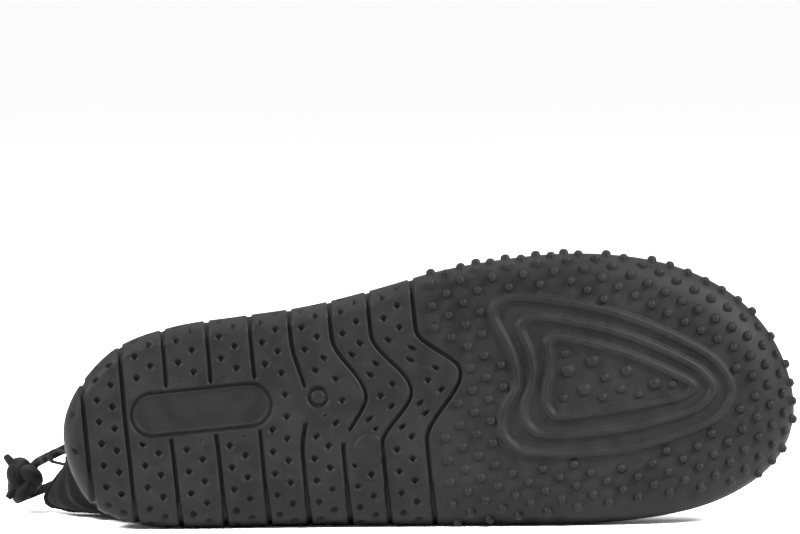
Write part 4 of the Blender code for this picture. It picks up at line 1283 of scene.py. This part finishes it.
SOLE_RUBBER = rubber("sole_rubber_matte", (0.0027, 0.0027, 0.00275), (0.0062, 0.0062, 0.0063), 0.58)
FABRIC_BLACK = (0.0010, 0.0010, 0.00105)
UPPER_KNIT = knit("upper_knit", FABRIC_BLACK, (0.0026, 0.0026, 0.0027), 0.11, 0.16, 0.00012, 0.01)
BAND_RIB = knit("collar_rib", FABRIC_BLACK, (0.0024, 0.0024, 0.0025), 0.19, 0.30, 0.00020, 0.01)
BED_CLOTH = knit("footbed_cloth", (0.020, 0.020, 0.021), (0.035, 0.035, 0.037), 0.09, 0.09, 0.00012, 0.03)
TAPE_WEAVE = knit("loop_weave", (0.010, 0.0098, 0.0095), (0.020, 0.0196, 0.019), 0.07, 0.12, 0.00015, 0.05)
CORD_BRAID = knit("cord_yarn", (0.0022, 0.0022, 0.0022), (0.0070, 0.0070, 0.0070), 0.05, 0.05, 0.00012, 0.05)

tread = make_tread(SOLE_RUBBER)
side = make_side(SOLE_RUBBER)
studs = make_studs(SOLE_RUBBER)
upper, collar_edge = make_upper(UPPER_KNIT)
frames = collar_frames(collar_edge)
band = make_binding(frames, BAND_RIB)
footbed = make_insole(BED_CLOTH)
loop = make_loop(frames, TAPE_WEAVE)
strand_upper, path_upper = make_strand("cord_strand_upper", STRAND_UPPER, CORD_BRAID)
strand_lower, path_lower = make_strand("cord_strand_lower", STRAND_LOWER, CORD_BRAID)
knot = make_knot(CORD_BRAID)

for piece, slot, nodes in (
    (tread, "sole_rubber", ("outsole",)),
    (side, "sole_rubber", ("outsole",)),
    (studs, "sole_rubber", ("outsole",)),
    (upper, "upper_fabric", ("upper",)),
    (band, "collar_tape", ("collar_binding",)),
    (footbed, "insole_foam", ("insole",)),
    (loop, "loop_webbing", ("heel_pull_loop",)),
    (strand_upper, "drawcord_braid", ("drawcord_strand_upper",)),
    (strand_lower, "drawcord_braid", ("drawcord_strand_lower",)),
    (knot, "drawcord_braid", ("drawcord_knot",)),
):
    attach(piece, "root")
    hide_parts(*nodes)


# Floor, light and camera


def plane(name, half, height, finish):
    mesh = bpy.data.meshes.new(name)
    corners = [(x * half, y * half, height) for x, y in ((-1, -1), (1, -1), (1, 1), (-1, 1))]
    mesh.from_pydata(corners, [], [(0, 1, 2, 3)])
    mesh.materials.append(finish)
    return linked(name, mesh)


plane("floor", 40.0, 0.0, studio("pale_floor", (0.95, 0.95, 0.95), 0.9))

MIDDLE = (0.0, -0.02, 0.05)


def add_light(name, place, size, power):
    data = bpy.data.lights.new(name, "AREA")
    data.shape = "RECTANGLE"
    data.size, data.size_y = size
    data.energy = power
    made = linked(name, data)
    made.location = place
    made.rotation_euler = (Vector(MIDDLE) - Vector(place)).to_track_quat("-Z", "Y").to_euler()


add_light("key_left", (-0.9, -0.5, 0.8), (0.4, 0.4), 50.0)
add_light("key_right", (0.9, -0.4, 0.8), (0.4, 0.4), 62.0)
add_light("top", (0.0, 0.5, 1.6), (2.0, 1.2), 25.0)

world = bpy.data.worlds.new("studio")
bpy.context.scene.world = world
world.use_nodes = True
background = world.node_tree.nodes["Background"]
background.inputs["Color"].default_value = (1.0, 1.0, 1.0, 1.0)
background.inputs["Strength"].default_value = 1.02
bpy.context.scene.view_settings.view_transform = "Standard"

CAMERA_PLACE = (-0.00518, -2.24, 0.20741)
CAMERA_TARGET = (-0.00518, -0.040, 0.09641)
CAMERA_ROLL = math.radians(0.5)
VIEW_WIDTH = 0.2944
SENSOR = 36.0

camera_data = bpy.data.cameras.new("camera")
camera = linked("camera", camera_data)
camera.location = CAMERA_PLACE
aim = Vector(CAMERA_TARGET) - Vector(CAMERA_PLACE)
level = aim.to_track_quat("-Z", "Y").to_matrix()
camera.rotation_euler = (level @ Matrix.Rotation(-CAMERA_ROLL, 3, "Z")).to_euler()
camera_data.sensor_width = SENSOR
camera_data.lens = SENSOR * aim.length / VIEW_WIDTH
camera_data.clip_end = 200.0
bpy.context.scene.camera = camera
